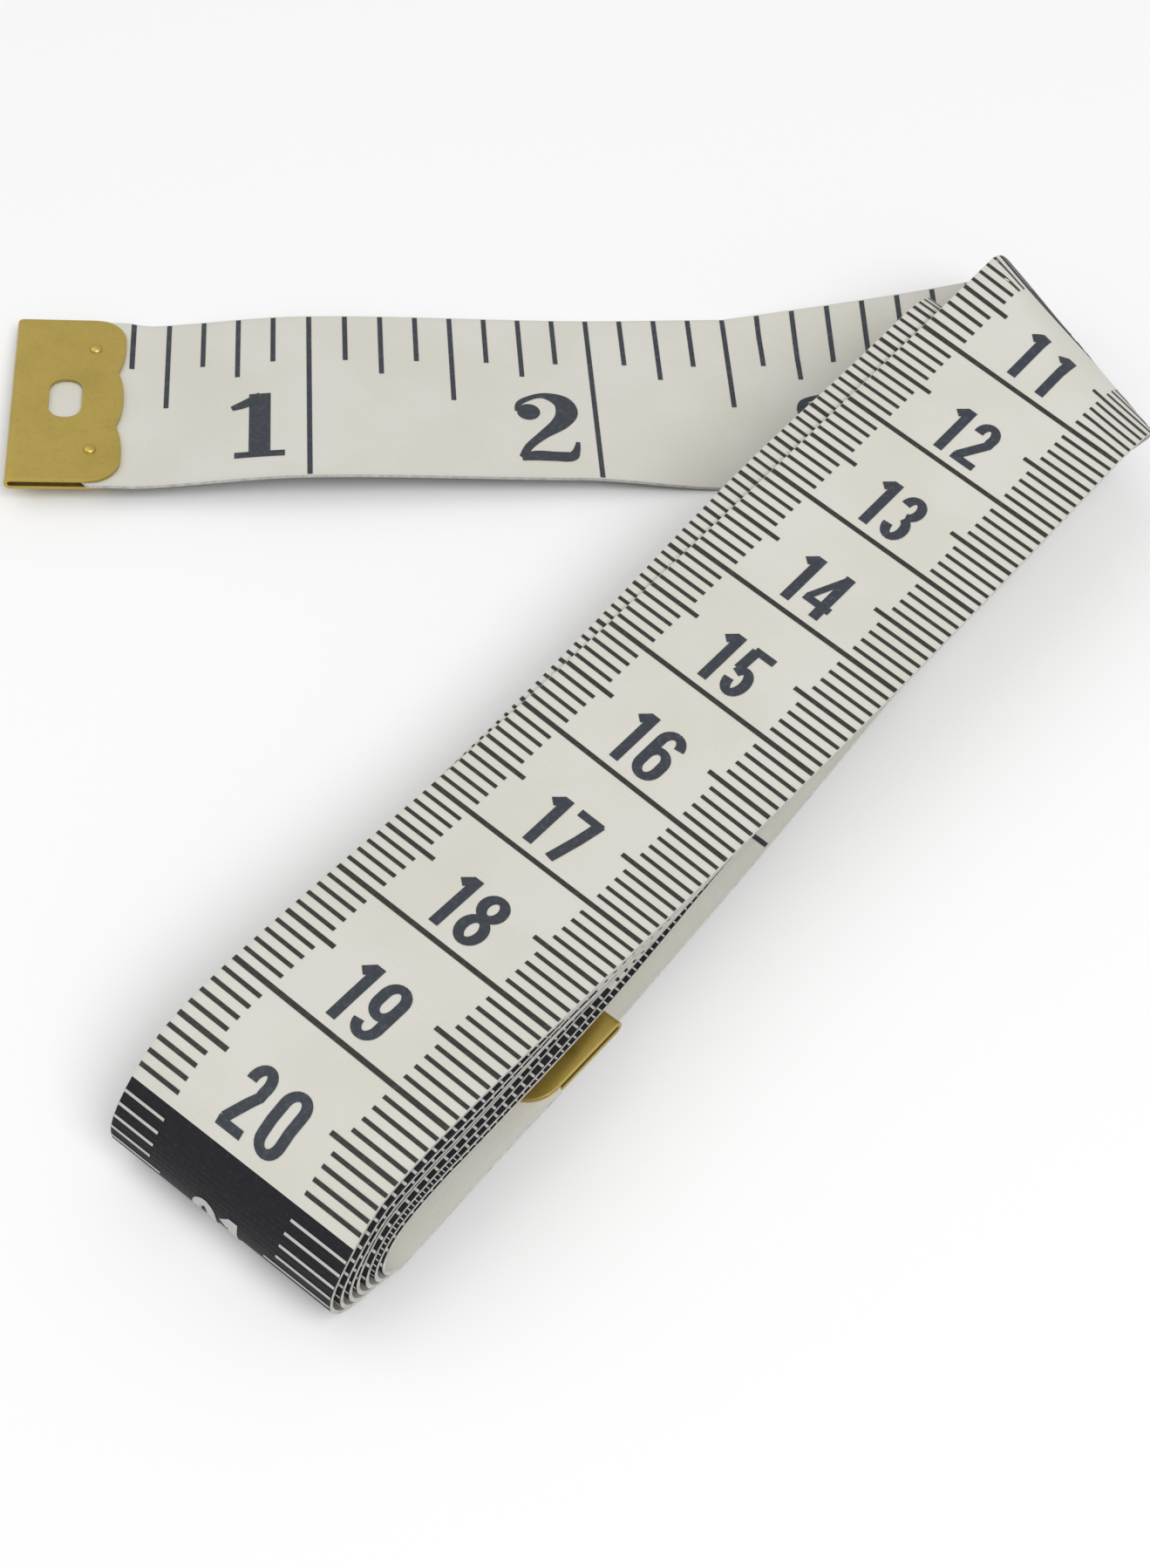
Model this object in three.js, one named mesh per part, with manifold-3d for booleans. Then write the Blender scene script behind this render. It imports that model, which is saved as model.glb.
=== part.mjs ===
// Cloth tape measure: a 150 cm coated tape with a folded brass clip on each end.
// It lies on a table, wound flat into a hank, with its first centimetres laid out beside the hank.
// Millimetres, +Z up. The laid-out end runs along +X and the table is the plane z = 0.
import * as THREE from 'three';
import { mergeVertices } from 'three/addons/utils/BufferGeometryUtils.js';
import Module from 'manifold-3d';

// Tape
const TAPE_LENGTH = 1500;
const TAPE_WIDTH = 20;
const TAPE_THICKNESS = 0.3;

// Winding: layers lie one pitch apart, and the hollow is the clear height inside the innermost turn
const LAPS = 6;
const LAYER_GAP = 0.43;
const HOLLOW = 2.4;
const HANK_ANGLE = THREE.MathUtils.degToRad(45);
const TAIL_LENGTH = 28.3;

// Sag: between the fold and the clip inside the hollow the upper layers sink together
const SAG_DEPTH = 1.55;
const SAG_LENGTH = 64;
const SAG_FALL = 25;
const SAG_CLIMB = 15;

// Where the turns lie askew: shifts across the hank of the layers under the outermost one
const FAR_SHIFT = 2.4;
const NEAR_FAN = 0.35;
const UNDER_FAN = 0.33;

// Laid-out end: it runs straight to the fold that carries it up and over the hank
const FOLD_START = 86.7;
const FOLD_REACH = 3;
const RAMP_LENGTH = 40;
const HUMP_HEIGHT = 1.5;
const HUMP_LENGTH = 28;
const HUMP_FROM_CLIP = 5;

// Hinge lines where the free ends flex, each a narrow break in the tape
const LEAD_HINGE = 62;
const TAIL_HINGE_FROM_BEND = 5.3;
const HINGE_GAP = 0.3;

// Brass clip, folded over the end of the tape
const BRASS_THICKNESS = 0.3;
const CLIP_LENGTH = 9.5;
const CLIP_INSET = 0.2;
const CLIP_CLEARANCE = 0.1;
const CLIP_CORNER_RADIUS = 2.6;
const LOBES = 3;
const VALLEY_DEPTH = 0.5;
const EYE_LENGTH = 2.8;
const EYE_WIDTH = 4.65;
const EYE_CORNER_RADIUS = 1.25;
const EYE_FROM_FOLD = 4.6;
const DIMPLE_RADIUS = 0.55;
const DIMPLE_HEIGHT = 0.28;
const DIMPLE_FROM_FOLD = 6.9;
const DIMPLE_SPACING = 12.3;
const CLIP_REST_GAP = 0.35;

// Steps along a run, a bend, the fold and a free end, and the spacing of the points that the gap is measured on
const RUN_STEPS = 24;
const BEND_STEPS = 14;
const FOLD_STEPS = 16;
const FREE_STEPS = 12;
const CORNERS = 4;
const GAP_SAMPLE_STEP = 0.5;
const ACROSS_SAMPLES = [0, 0.5, 1];

// Sizes that follow from the ones above
const PITCH = TAPE_THICKNESS + LAYER_GAP;
const HALF_WIDTH = TAPE_WIDTH / 2;
const HALF_THICKNESS = TAPE_THICKNESS / 2;
const INNER_RADIUS = (HOLLOW + TAPE_THICKNESS) / 2;
const OUTER_RADIUS = INNER_RADIUS + LAPS * PITCH;
const NEAR_BENDS = LAPS + 1;
const RUNS = 2 * LAPS;
const CLIP_WIDTH = TAPE_WIDTH - 2 * CLIP_INSET;
const CLIP_SLOT = TAPE_THICKNESS + 2 * CLIP_CLEARANCE;
const CLIP_HEIGHT = CLIP_SLOT + 2 * BRASS_THICKNESS;
const CLIP_LIFT = BRASS_THICKNESS + CLIP_CLEARANCE;
const CLIP_BEND = CLIP_HEIGHT / 2;
const TAPE_START = CLIP_BEND - CLIP_SLOT / 2 + CLIP_CLEARANCE;

const UP = new THREE.Vector3(0, 0, 1);
const smooth = THREE.MathUtils.smoothstep;

// The fold: the straight tape wraps a flat roll whose axis lies askew, so it leaves at the hank's angle
const SKEW = HANK_ANGLE / 2;
const foldOut = new THREE.Vector3(Math.cos(SKEW), Math.sin(SKEW), 0);
const foldAxis = new THREE.Vector3(Math.sin(SKEW), -Math.cos(SKEW), 0);
const foldLine = FOLD_START * Math.cos(SKEW);
const foldHalfHeight = OUTER_RADIUS + PITCH / 2;

function foldProfile() {
  const profile = [];
  let travel = 0;
  for (let step = 0; step <= FOLD_STEPS; step += 1) {
    const angle = Math.PI * (step / FOLD_STEPS - 0.5);
    const point = new THREE.Vector2(
      foldLine + FOLD_REACH * Math.cos(angle),
      HALF_THICKNESS + foldHalfHeight * (1 + Math.sin(angle)),
    );
    const facing = new THREE.Vector2(foldHalfHeight * Math.cos(angle), FOLD_REACH * Math.sin(angle)).normalize();
    if (step > 0) travel += point.distanceTo(profile[step - 1].point);
    profile.push({ point, facing, travel });
  }
  return profile;
}

const profile = foldProfile();
const foldTravel = profile[FOLD_STEPS].travel;

// Hank frame: u runs along the outermost layer and equals the length along the tape there, v across it
const along = new THREE.Vector3(-Math.cos(HANK_ANGLE), -Math.sin(HANK_ANGLE), 0);
const across = new THREE.Vector3(Math.sin(HANK_ANGLE), -Math.cos(HANK_ANGLE), 0);
const hankOrigin = foldOut.clone().multiplyScalar(2 * foldLine + foldTravel);

function hankPoint(u, v, z) {
  return hankOrigin.clone().addScaledVector(along, u).addScaledVector(across, v).addScaledVector(UP, z);
}

// The far bends clear the inside of the fold
const farRadius = OUTER_RADIUS - PITCH / 2;
const farEdge = HALF_WIDTH - FAR_SHIFT;
const foldInside = (foldLine + foldTravel - FOLD_REACH + farEdge * Math.sin(SKEW)) / Math.cos(SKEW);
const FAR_BEND = foldInside + PITCH / Math.cos(SKEW) + farRadius;

// The upper layers sag together, and the slack is the length that this takes up in each of them
function sag(u) {
  const end = FAR_BEND + SAG_LENGTH;
  return SAG_DEPTH * smooth(u, FAR_BEND, FAR_BEND + SAG_FALL) * (1 - smooth(u, end - SAG_CLIMB, end));
}

function sagSlack() {
  let slack = 0;
  for (let u = FAR_BEND; u < FAR_BEND + SAG_LENGTH; u += GAP_SAMPLE_STEP) {
    slack += Math.hypot(GAP_SAMPLE_STEP, sag(u + GAP_SAMPLE_STEP) - sag(u)) - GAP_SAMPLE_STEP;
  }
  return slack;
}

// The near bends take up the rest of the tape's length
function bendLength(firstRadius, count) {
  return Math.PI * (count * firstRadius - PITCH * count * (count - 1) / 2);
}

const bendTotal = bendLength(OUTER_RADIUS, NEAR_BENDS) + bendLength(farRadius, LAPS);
const runTotal = TAPE_LENGTH - bendTotal - TAIL_LENGTH - NEAR_BENDS * sagSlack();
const NEAR_BEND = (runTotal + RUNS * FAR_BEND) / (RUNS + 1);
const MIDDLE = (FAR_BEND + NEAR_BEND) / 2;

// The far half of the hank rises over the laid-out end that passes under it
const widestShift = FAR_SHIFT + LAPS * UNDER_FAN;
const crossingEnd = (hankOrigin.y + HALF_WIDTH) / Math.sin(HANK_ANGLE) + HALF_WIDTH + widestShift;

function rise(u) {
  return PITCH * (1 - smooth(u, crossingEnd, crossingEnd + RAMP_LENGTH));
}

function topShift(layer, u) {
  if (layer === 0) return 0;
  return NEAR_FAN * layer * smooth(u, MIDDLE, NEAR_BEND) - FAR_SHIFT * (1 - smooth(u, FAR_BEND, MIDDLE));
}

function underShift(layer, u) {
  const share = smooth(u, FAR_BEND, NEAR_BEND);
  return THREE.MathUtils.lerp(-FAR_SHIFT, NEAR_FAN * LAPS, share) - UNDER_FAN * (LAPS - layer);
}

const middleHeight = OUTER_RADIUS + HALF_THICKNESS;
const topHeight = (layer, u) => middleHeight + OUTER_RADIUS - layer * PITCH + rise(u) - sag(u);
const underHeight = (layer, u) => middleHeight - OUTER_RADIUS + layer * PITCH + rise(u);

const topPoint = (layer, u) => hankPoint(u, topShift(layer, u), topHeight(layer, u));

function topRun(layer) {
  const points = [];
  for (let step = 0; step < RUN_STEPS; step += 1) {
    points.push(topPoint(layer, THREE.MathUtils.lerp(FAR_BEND, NEAR_BEND, step / RUN_STEPS)));
  }
  return points;
}

function underRun(layer) {
  const points = [];
  for (let step = 0; step < RUN_STEPS; step += 1) {
    const u = THREE.MathUtils.lerp(NEAR_BEND, FAR_BEND, step / RUN_STEPS);
    points.push(hankPoint(u, underShift(layer, u), underHeight(layer, u)));
  }
  return points;
}

// A bend turns half round its centre while the tape drifts from one layer's shift to the next one's
function bend(centre, side, height, radius, fromShift, toShift) {
  const points = [];
  for (let step = 0; step < BEND_STEPS; step += 1) {
    const share = step / BEND_STEPS;
    const angle = Math.PI * share;
    const u = centre + side * radius * Math.sin(angle);
    const v = THREE.MathUtils.lerp(fromShift, toShift, smooth(share, 0, 1));
    points.push(hankPoint(u, v, height + side * radius * Math.cos(angle)));
  }
  return points;
}

function nearBend(layer) {
  const radius = OUTER_RADIUS - layer * PITCH;
  const shifts = [topShift(layer, NEAR_BEND), underShift(layer, NEAR_BEND)];
  return bend(NEAR_BEND, 1, middleHeight + rise(NEAR_BEND), radius, ...shifts);
}

function farBend(layer) {
  const radius = farRadius - layer * PITCH;
  const shifts = [underShift(layer, FAR_BEND), topShift(layer + 1, FAR_BEND)];
  return bend(FAR_BEND, -1, middleHeight - PITCH / 2 + rise(FAR_BEND), radius, ...shifts);
}

// A station holds the tape's two edges and the way its first side faces
function stationsAlong(points) {
  return points.map((point, index) => {
    const before = points[Math.max(index - 1, 0)];
    const after = points[Math.min(index + 1, points.length - 1)];
    const tangent = after.clone().sub(before).normalize();
    return {
      left: point.clone().addScaledVector(across, -HALF_WIDTH),
      right: point.clone().addScaledVector(across, HALF_WIDTH),
      facing: across.clone().cross(tangent).normalize(),
    };
  });
}

function squareStation(x, z, slope) {
  return {
    left: new THREE.Vector3(x, HALF_WIDTH, z),
    right: new THREE.Vector3(x, -HALF_WIDTH, z),
    facing: new THREE.Vector3(-slope, 0, 1).normalize(),
  };
}

function foldStations() {
  return profile.map(({ point, facing, travel }) => {
    const middle = foldOut.clone().multiplyScalar(point.x).addScaledVector(UP, point.y);
    const drift = (travel + foldLine) * Math.tan(SKEW);
    const reach = HALF_WIDTH / Math.cos(SKEW);
    return {
      left: middle.clone().addScaledVector(foldAxis, drift - reach),
      right: middle.clone().addScaledVector(foldAxis, drift + reach),
      facing: foldOut.clone().multiplyScalar(-facing.x).addScaledVector(UP, -facing.y),
    };
  });
}

// The laid-out end leaves its clip, settles on the table and lifts once in a low hump
const humpStart = CLIP_LENGTH + HUMP_FROM_CLIP;

function leadHeight(x) {
  const settle = CLIP_LIFT * (1 - smooth(x, CLIP_LENGTH, humpStart));
  const phase = THREE.MathUtils.clamp((x - humpStart) / HUMP_LENGTH, 0, 1);
  return HALF_THICKNESS + settle + HUMP_HEIGHT * Math.sin(Math.PI * phase) ** 2;
}

function leadStations() {
  const end = LEAD_HINGE - HINGE_GAP / 2;
  const marks = [TAPE_START, CLIP_LENGTH];
  for (let step = 1; step <= FREE_STEPS; step += 1) {
    marks.push(THREE.MathUtils.lerp(CLIP_LENGTH, humpStart, step / FREE_STEPS));
  }
  for (let step = 1; step <= FOLD_STEPS; step += 1) marks.push(humpStart + HUMP_LENGTH * step / FOLD_STEPS);
  marks.push(end);
  const probe = TAPE_THICKNESS / 10;
  return marks.map((x) => {
    const slope = (leadHeight(x + probe) - leadHeight(x - probe)) / (2 * probe);
    return squareStation(x, leadHeight(x), slope);
  });
}

// The winding is one unbroken tape, from the hinge line of the laid-out end to that of the tail
function hankStations() {
  const topStart = (foldLine + foldTravel + HALF_WIDTH * Math.sin(SKEW)) / Math.cos(SKEW) + PITCH;
  const points = [topPoint(0, topStart), ...topRun(0), ...nearBend(0)];
  for (let lap = 0; lap < LAPS; lap += 1) {
    points.push(...underRun(lap), ...farBend(lap), ...topRun(lap + 1), ...nearBend(lap + 1));
  }
  points.push(tailPoint(NEAR_BEND), tailPoint(TAIL_HINGE + HINGE_GAP / 2));
  return [squareStation(LEAD_HINGE + HINGE_GAP / 2, HALF_THICKNESS, 0), ...foldStations(), ...stationsAlong(points)];
}

// The tail runs back inside the hollow and rises a little to its clip, which rests on the layer below
const TAIL_HINGE = NEAR_BEND - TAIL_HINGE_FROM_BEND;
const TAIL_END = NEAR_BEND - TAIL_LENGTH;
const tailClipEdge = TAIL_END + CLIP_LENGTH;
const tailRise = CLIP_LIFT + CLIP_REST_GAP - LAYER_GAP;

function tailPoint(u) {
  const height = underHeight(LAPS, u) + tailRise * (1 - smooth(u, tailClipEdge, TAIL_HINGE));
  return hankPoint(u, underShift(LAPS, NEAR_BEND), height);
}

function tailStations() {
  const points = [];
  for (let step = 0; step <= FREE_STEPS; step += 1) {
    points.push(tailPoint(THREE.MathUtils.lerp(TAIL_HINGE - HINGE_GAP / 2, tailClipEdge, step / FREE_STEPS)));
  }
  points.push(tailPoint(TAIL_END + TAPE_START));
  return stationsAlong(points);
}

// A tape solid has four corners at each station and is closed at both ends
function tapeGeometry(stations) {
  const corners = [];
  const faces = [];
  stations.forEach(({ left, right, facing }) => {
    [[left, 1], [right, 1], [right, -1], [left, -1]].forEach(([edge, sign]) => {
      corners.push(...edge.clone().addScaledVector(facing, sign * HALF_THICKNESS).toArray());
    });
  });
  for (let row = 0; row < stations.length - 1; row += 1) {
    for (let corner = 0; corner < CORNERS; corner += 1) {
      const here = CORNERS * row + corner;
      const beside = CORNERS * row + (corner + 1) % CORNERS;
      faces.push(here, beside, beside + CORNERS, here, beside + CORNERS, here + CORNERS);
    }
  }
  const last = CORNERS * (stations.length - 1);
  faces.push(0, 3, 2, 0, 2, 1);
  faces.push(last, last + 1, last + 2, last, last + 2, last + 3);
  const geometry = new THREE.BufferGeometry();
  geometry.setAttribute('position', new THREE.Float32BufferAttribute(corners, 3));
  geometry.setIndex(faces);
  geometry.computeVertexNormals();
  return geometry;
}

// The least gap between two layers, on points spread over the tape's middle surface
function gapSamples(stations) {
  const samples = [];
  let travel = 0;
  for (let row = 0; row < stations.length - 1; row += 1) {
    const from = stations[row];
    const to = stations[row + 1];
    const length = from.left.distanceTo(to.left);
    const count = Math.max(1, Math.ceil(length / GAP_SAMPLE_STEP));
    for (let step = 0; step < count; step += 1) {
      const share = step / count;
      const left = from.left.clone().lerp(to.left, share);
      const right = from.right.clone().lerp(to.right, share);
      const facing = from.facing.clone().lerp(to.facing, share).normalize();
      const side = right.clone().sub(left).normalize();
      const tangent = facing.clone().cross(side);
      ACROSS_SAMPLES.forEach((place) => {
        const point = left.clone().lerp(right, place);
        samples.push({ point, facing, side, tangent, travel: travel + length * share });
      });
    }
    travel += length;
  }
  return samples;
}

function leastGap(stations) {
  const samples = gapSamples(stations);
  const offset = new THREE.Vector3();
  let least = Infinity;
  samples.forEach(({ point, facing, side, tangent, travel }, index) => {
    for (let other = index + 1; other < samples.length; other += 1) {
      if (samples[other].travel - travel < TAPE_WIDTH) continue;
      offset.subVectors(samples[other].point, point);
      if (Math.abs(offset.dot(tangent)) > GAP_SAMPLE_STEP / 2) continue;
      if (Math.abs(offset.dot(side)) > TAPE_WIDTH / 4) continue;
      least = Math.min(least, Math.abs(offset.dot(facing)));
    }
  });
  return least - TAPE_THICKNESS;
}

// Booleans
const wasm = await Module();
wasm.setup();

function toSolid(geometry) {
  const bare = geometry.clone();
  bare.deleteAttribute('normal');
  bare.deleteAttribute('uv');
  const merged = mergeVertices(bare);
  return new wasm.Manifold(new wasm.Mesh({
    numProp: 3,
    vertProperties: new Float32Array(merged.attributes.position.array),
    triVerts: new Uint32Array(merged.index.array),
  }));
}

function toGeometry(solid) {
  const { vertProperties, triVerts } = solid.getMesh();
  const geometry = new THREE.BufferGeometry();
  geometry.setAttribute('position', new THREE.Float32BufferAttribute(vertProperties, 3));
  geometry.setIndex([...triVerts]);
  geometry.computeVertexNormals();
  return geometry;
}

// Clip, from above: square at the fold, three lobes at the inner edge and an oblong eye
function clipOutline() {
  const half = CLIP_WIDTH / 2;
  const lobe = CLIP_WIDTH / LOBES;
  const corner = CLIP_LENGTH - CLIP_CORNER_RADIUS;
  const outline = new THREE.Shape();
  outline.moveTo(-CLIP_HEIGHT, -half);
  outline.lineTo(corner, -half);
  outline.absarc(corner, CLIP_CORNER_RADIUS - half, CLIP_CORNER_RADIUS, -Math.PI / 2, 0, false);
  for (let index = 0; index < LOBES; index += 1) {
    const end = -half + lobe * (index + 1);
    const valley = CLIP_LENGTH - VALLEY_DEPTH;
    if (index > 0 && index < LOBES - 1) {
      outline.quadraticCurveTo(CLIP_LENGTH + VALLEY_DEPTH, end - lobe / 2, valley, end);
    } else if (index === 0) {
      outline.quadraticCurveTo(CLIP_LENGTH, end - lobe / 4, valley, end);
    } else {
      outline.quadraticCurveTo(CLIP_LENGTH, end - 3 * lobe / 4, CLIP_LENGTH, half - CLIP_CORNER_RADIUS);
    }
  }
  outline.absarc(corner, half - CLIP_CORNER_RADIUS, CLIP_CORNER_RADIUS, 0, Math.PI / 2, false);
  outline.lineTo(-CLIP_HEIGHT, half);
  outline.closePath();
  outline.holes.push(eyeOutline());
  return outline;
}

function eyeOutline() {
  const x = EYE_LENGTH / 2 - EYE_CORNER_RADIUS;
  const y = EYE_WIDTH / 2 - EYE_CORNER_RADIUS;
  const eye = new THREE.Path();
  [[x, y], [-x, y], [-x, -y], [x, -y]].forEach(([cornerX, cornerY], quarter) => {
    const start = quarter * Math.PI / 2;
    eye.absarc(EYE_FROM_FOLD + cornerX, cornerY, EYE_CORNER_RADIUS, start, start + Math.PI / 2, false);
  });
  eye.closePath();
  return eye;
}

// Clip, from the side: a sheet folded round the end of the tape
function clipSide() {
  const outer = CLIP_HEIGHT / 2;
  const inner = CLIP_SLOT / 2;
  const side = new THREE.Shape();
  side.moveTo(CLIP_LENGTH + CLIP_HEIGHT, outer);
  side.lineTo(CLIP_BEND, outer);
  side.absarc(CLIP_BEND, 0, outer, Math.PI / 2, 3 * Math.PI / 2, false);
  side.lineTo(CLIP_LENGTH + CLIP_HEIGHT, -outer);
  side.lineTo(CLIP_LENGTH + CLIP_HEIGHT, -inner);
  side.lineTo(CLIP_BEND, -inner);
  side.absarc(CLIP_BEND, 0, inner, 3 * Math.PI / 2, Math.PI / 2, true);
  side.lineTo(CLIP_LENGTH + CLIP_HEIGHT, inner);
  side.closePath();
  return side;
}

function dimpleGeometry(y) {
  const seat = CLIP_HEIGHT / 2 - BRASS_THICKNESS / 2;
  const rim = CLIP_HEIGHT / 2;
  const section = new THREE.Path();
  section.moveTo(0, seat);
  section.lineTo(DIMPLE_RADIUS, seat);
  section.lineTo(DIMPLE_RADIUS, rim);
  section.absellipse(0, rim, DIMPLE_RADIUS, DIMPLE_HEIGHT, 0, Math.PI / 2, false, 0);
  const dimple = new THREE.LatheGeometry(section.getPoints(4), 16);
  return dimple.rotateX(Math.PI / 2).translate(DIMPLE_FROM_FOLD, y, 0);
}

function clipGeometry() {
  const sheet = new THREE.ExtrudeGeometry(clipSide(), { depth: CLIP_WIDTH, bevelEnabled: false, curveSegments: 8 });
  sheet.rotateX(Math.PI / 2).translate(0, CLIP_WIDTH / 2, 0);
  const cutter = new THREE.ExtrudeGeometry(clipOutline(), {
    depth: 2 * CLIP_HEIGHT, bevelEnabled: false, curveSegments: 8,
  });
  cutter.translate(0, 0, -CLIP_HEIGHT);
  let clip = toSolid(sheet).intersect(toSolid(cutter));
  [-1, 1].forEach((side) => {
    clip = clip.add(toSolid(dimpleGeometry(side * DIMPLE_SPACING / 2)));
  });
  return toGeometry(clip);
}

// Assembly
const TAPE_FINISH = { color: 0xd9d6cb, roughness: 0.62, metalness: 0 };
const BRASS_FINISH = { color: 0xac9852, roughness: 0.32, metalness: 1 };

function piece(name, geometry, finish) {
  const mesh = new THREE.Mesh(geometry, new THREE.MeshStandardMaterial({ ...finish, name }));
  mesh.name = name;
  return mesh;
}

const hank = hankStations();
const tail = tailStations();
console.log(`least gap between layers ${leastGap([...hank, ...tail]).toFixed(3)} mm`);

const tapeMeasure = new THREE.Group();
tapeMeasure.name = 'cloth_tape_measure';
tapeMeasure.add(piece('tape_lead', tapeGeometry(leadStations()), TAPE_FINISH));
tapeMeasure.add(piece('tape_hank', tapeGeometry(hank), TAPE_FINISH));
tapeMeasure.add(piece('tape_tail', tapeGeometry(tail), TAPE_FINISH));

const zeroClip = piece('zero_end_clip', clipGeometry(), BRASS_FINISH);
zeroClip.position.set(0, 0, leadHeight(TAPE_START));
tapeMeasure.add(zeroClip);

const farClip = piece('far_end_clip', clipGeometry(), BRASS_FINISH);
farClip.position.copy(tailPoint(TAIL_END));
farClip.rotation.z = Math.PI + HANK_ANGLE;
tapeMeasure.add(farClip);

// The origin is the middle of the part's outline, on the table
const outline = new THREE.Box3().setFromObject(tapeMeasure);
const middle = outline.getCenter(new THREE.Vector3());
tapeMeasure.position.set(-middle.x, -middle.y, -outline.min.z);

export default tapeMeasure;
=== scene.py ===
"""Cloth tape measure wound into a flat hank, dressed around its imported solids.

Lengths are millimetres in the tape's own frame: x runs along the laid-out end from
its clip, y across it and z up from the table. Meshes are written in metres, in the
row frame.
"""

from __future__ import annotations

import logging
import math
from dataclasses import dataclass, field
from enum import Enum
from typing import Any, Callable, Sequence

import bpy
import numpy as np
from mathutils import Matrix, Vector

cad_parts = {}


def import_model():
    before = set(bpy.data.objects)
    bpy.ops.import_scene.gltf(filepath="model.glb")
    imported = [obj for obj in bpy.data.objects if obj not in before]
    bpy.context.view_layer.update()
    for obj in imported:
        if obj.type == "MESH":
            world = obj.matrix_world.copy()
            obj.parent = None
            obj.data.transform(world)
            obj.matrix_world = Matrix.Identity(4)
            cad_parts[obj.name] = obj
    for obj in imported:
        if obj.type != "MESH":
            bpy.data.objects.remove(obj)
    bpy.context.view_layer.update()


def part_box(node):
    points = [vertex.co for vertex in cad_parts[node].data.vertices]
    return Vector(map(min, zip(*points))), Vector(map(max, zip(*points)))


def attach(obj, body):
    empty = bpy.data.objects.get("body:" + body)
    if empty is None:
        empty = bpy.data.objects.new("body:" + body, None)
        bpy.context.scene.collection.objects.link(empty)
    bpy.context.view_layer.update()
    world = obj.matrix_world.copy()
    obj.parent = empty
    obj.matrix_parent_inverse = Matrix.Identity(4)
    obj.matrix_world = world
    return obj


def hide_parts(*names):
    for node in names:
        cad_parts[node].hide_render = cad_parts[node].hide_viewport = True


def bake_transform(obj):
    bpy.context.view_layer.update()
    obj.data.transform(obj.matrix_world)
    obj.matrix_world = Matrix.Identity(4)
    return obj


LOG = logging.getLogger("tape_measure")
MM = 0.001
IMAGE_WIDTH = 1319
IMAGE_HEIGHT = 1798
Pair = tuple[float, float]
Triple = tuple[float, float, float]


class PrintSide(Enum):
    """The tape's two printed sides, by the way they face from its middle surface."""

    INCH = 1.0
    CENTIMETRE = -1.0


class Ink(Enum):
    """The inks that the scales are printed in."""

    DARK = "dark"
    BLUE = "blue"
    WHITE = "white"


def smooth(value: Any, low: float, high: float) -> Any:
    """Eases from 0 at low to 1 at high."""
    share = np.clip((np.asarray(value, float) - low) / (high - low), 0.0, 1.0)
    return share * share * (3.0 - 2.0 * share)


def swell(value: Any, middle: float, reach: float) -> Any:
    """Eases up to 1 at the middle and back to 0 at its reach on either side."""
    return 1.0 - smooth(np.abs(np.asarray(value, float) - middle), 0.0, reach)


def mix(first: Any, second: Any, share: Any) -> Any:
    """Goes straight from first to second."""
    return first + (second - first) * share


def srgb(red: int, green: int, blue: int) -> Triple:
    """Turns screen values from 0 to 255 into linear light.

    Args:
        red: Red, from 0 to 255.
        green: Green, from 0 to 255.
        blue: Blue, from 0 to 255.

    Returns:
        The colour.
    """

    def linear(value: int) -> float:
        """One channel in linear light."""
        share = value / 255.0
        return share / 12.92 if share <= 0.04045 else ((share + 0.055) / 1.055) ** 2.4

    return linear(red), linear(green), linear(blue)


@dataclass(frozen=True)
class TapeFrame:
    """Where the tape's own frame lies in the row frame.

    Args:
        x: Row position of the zero end, in metres.
        y: Row position of the laid-out end's middle line, in metres.
    """

    x: float
    y: float

    @classmethod
    def from_clip(cls) -> TapeFrame:
        """Reads the place of the zero-end clip."""
        low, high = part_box("zero_end_clip")
        return cls(low.x, (low.y + high.y) / 2.0)

    def to_row(self, points: np.ndarray) -> np.ndarray:
        """Turns millimetres in the tape's frame into metres in the row frame."""
        return np.asarray(points, float) * MM + np.array([self.x, self.y, 0.0])

    def row_point(self, point: Sequence[float]) -> Triple:
        """Turns one point into a plain tuple in the row frame."""
        return tuple(float(value) for value in self.to_row(np.array(point)))


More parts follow.
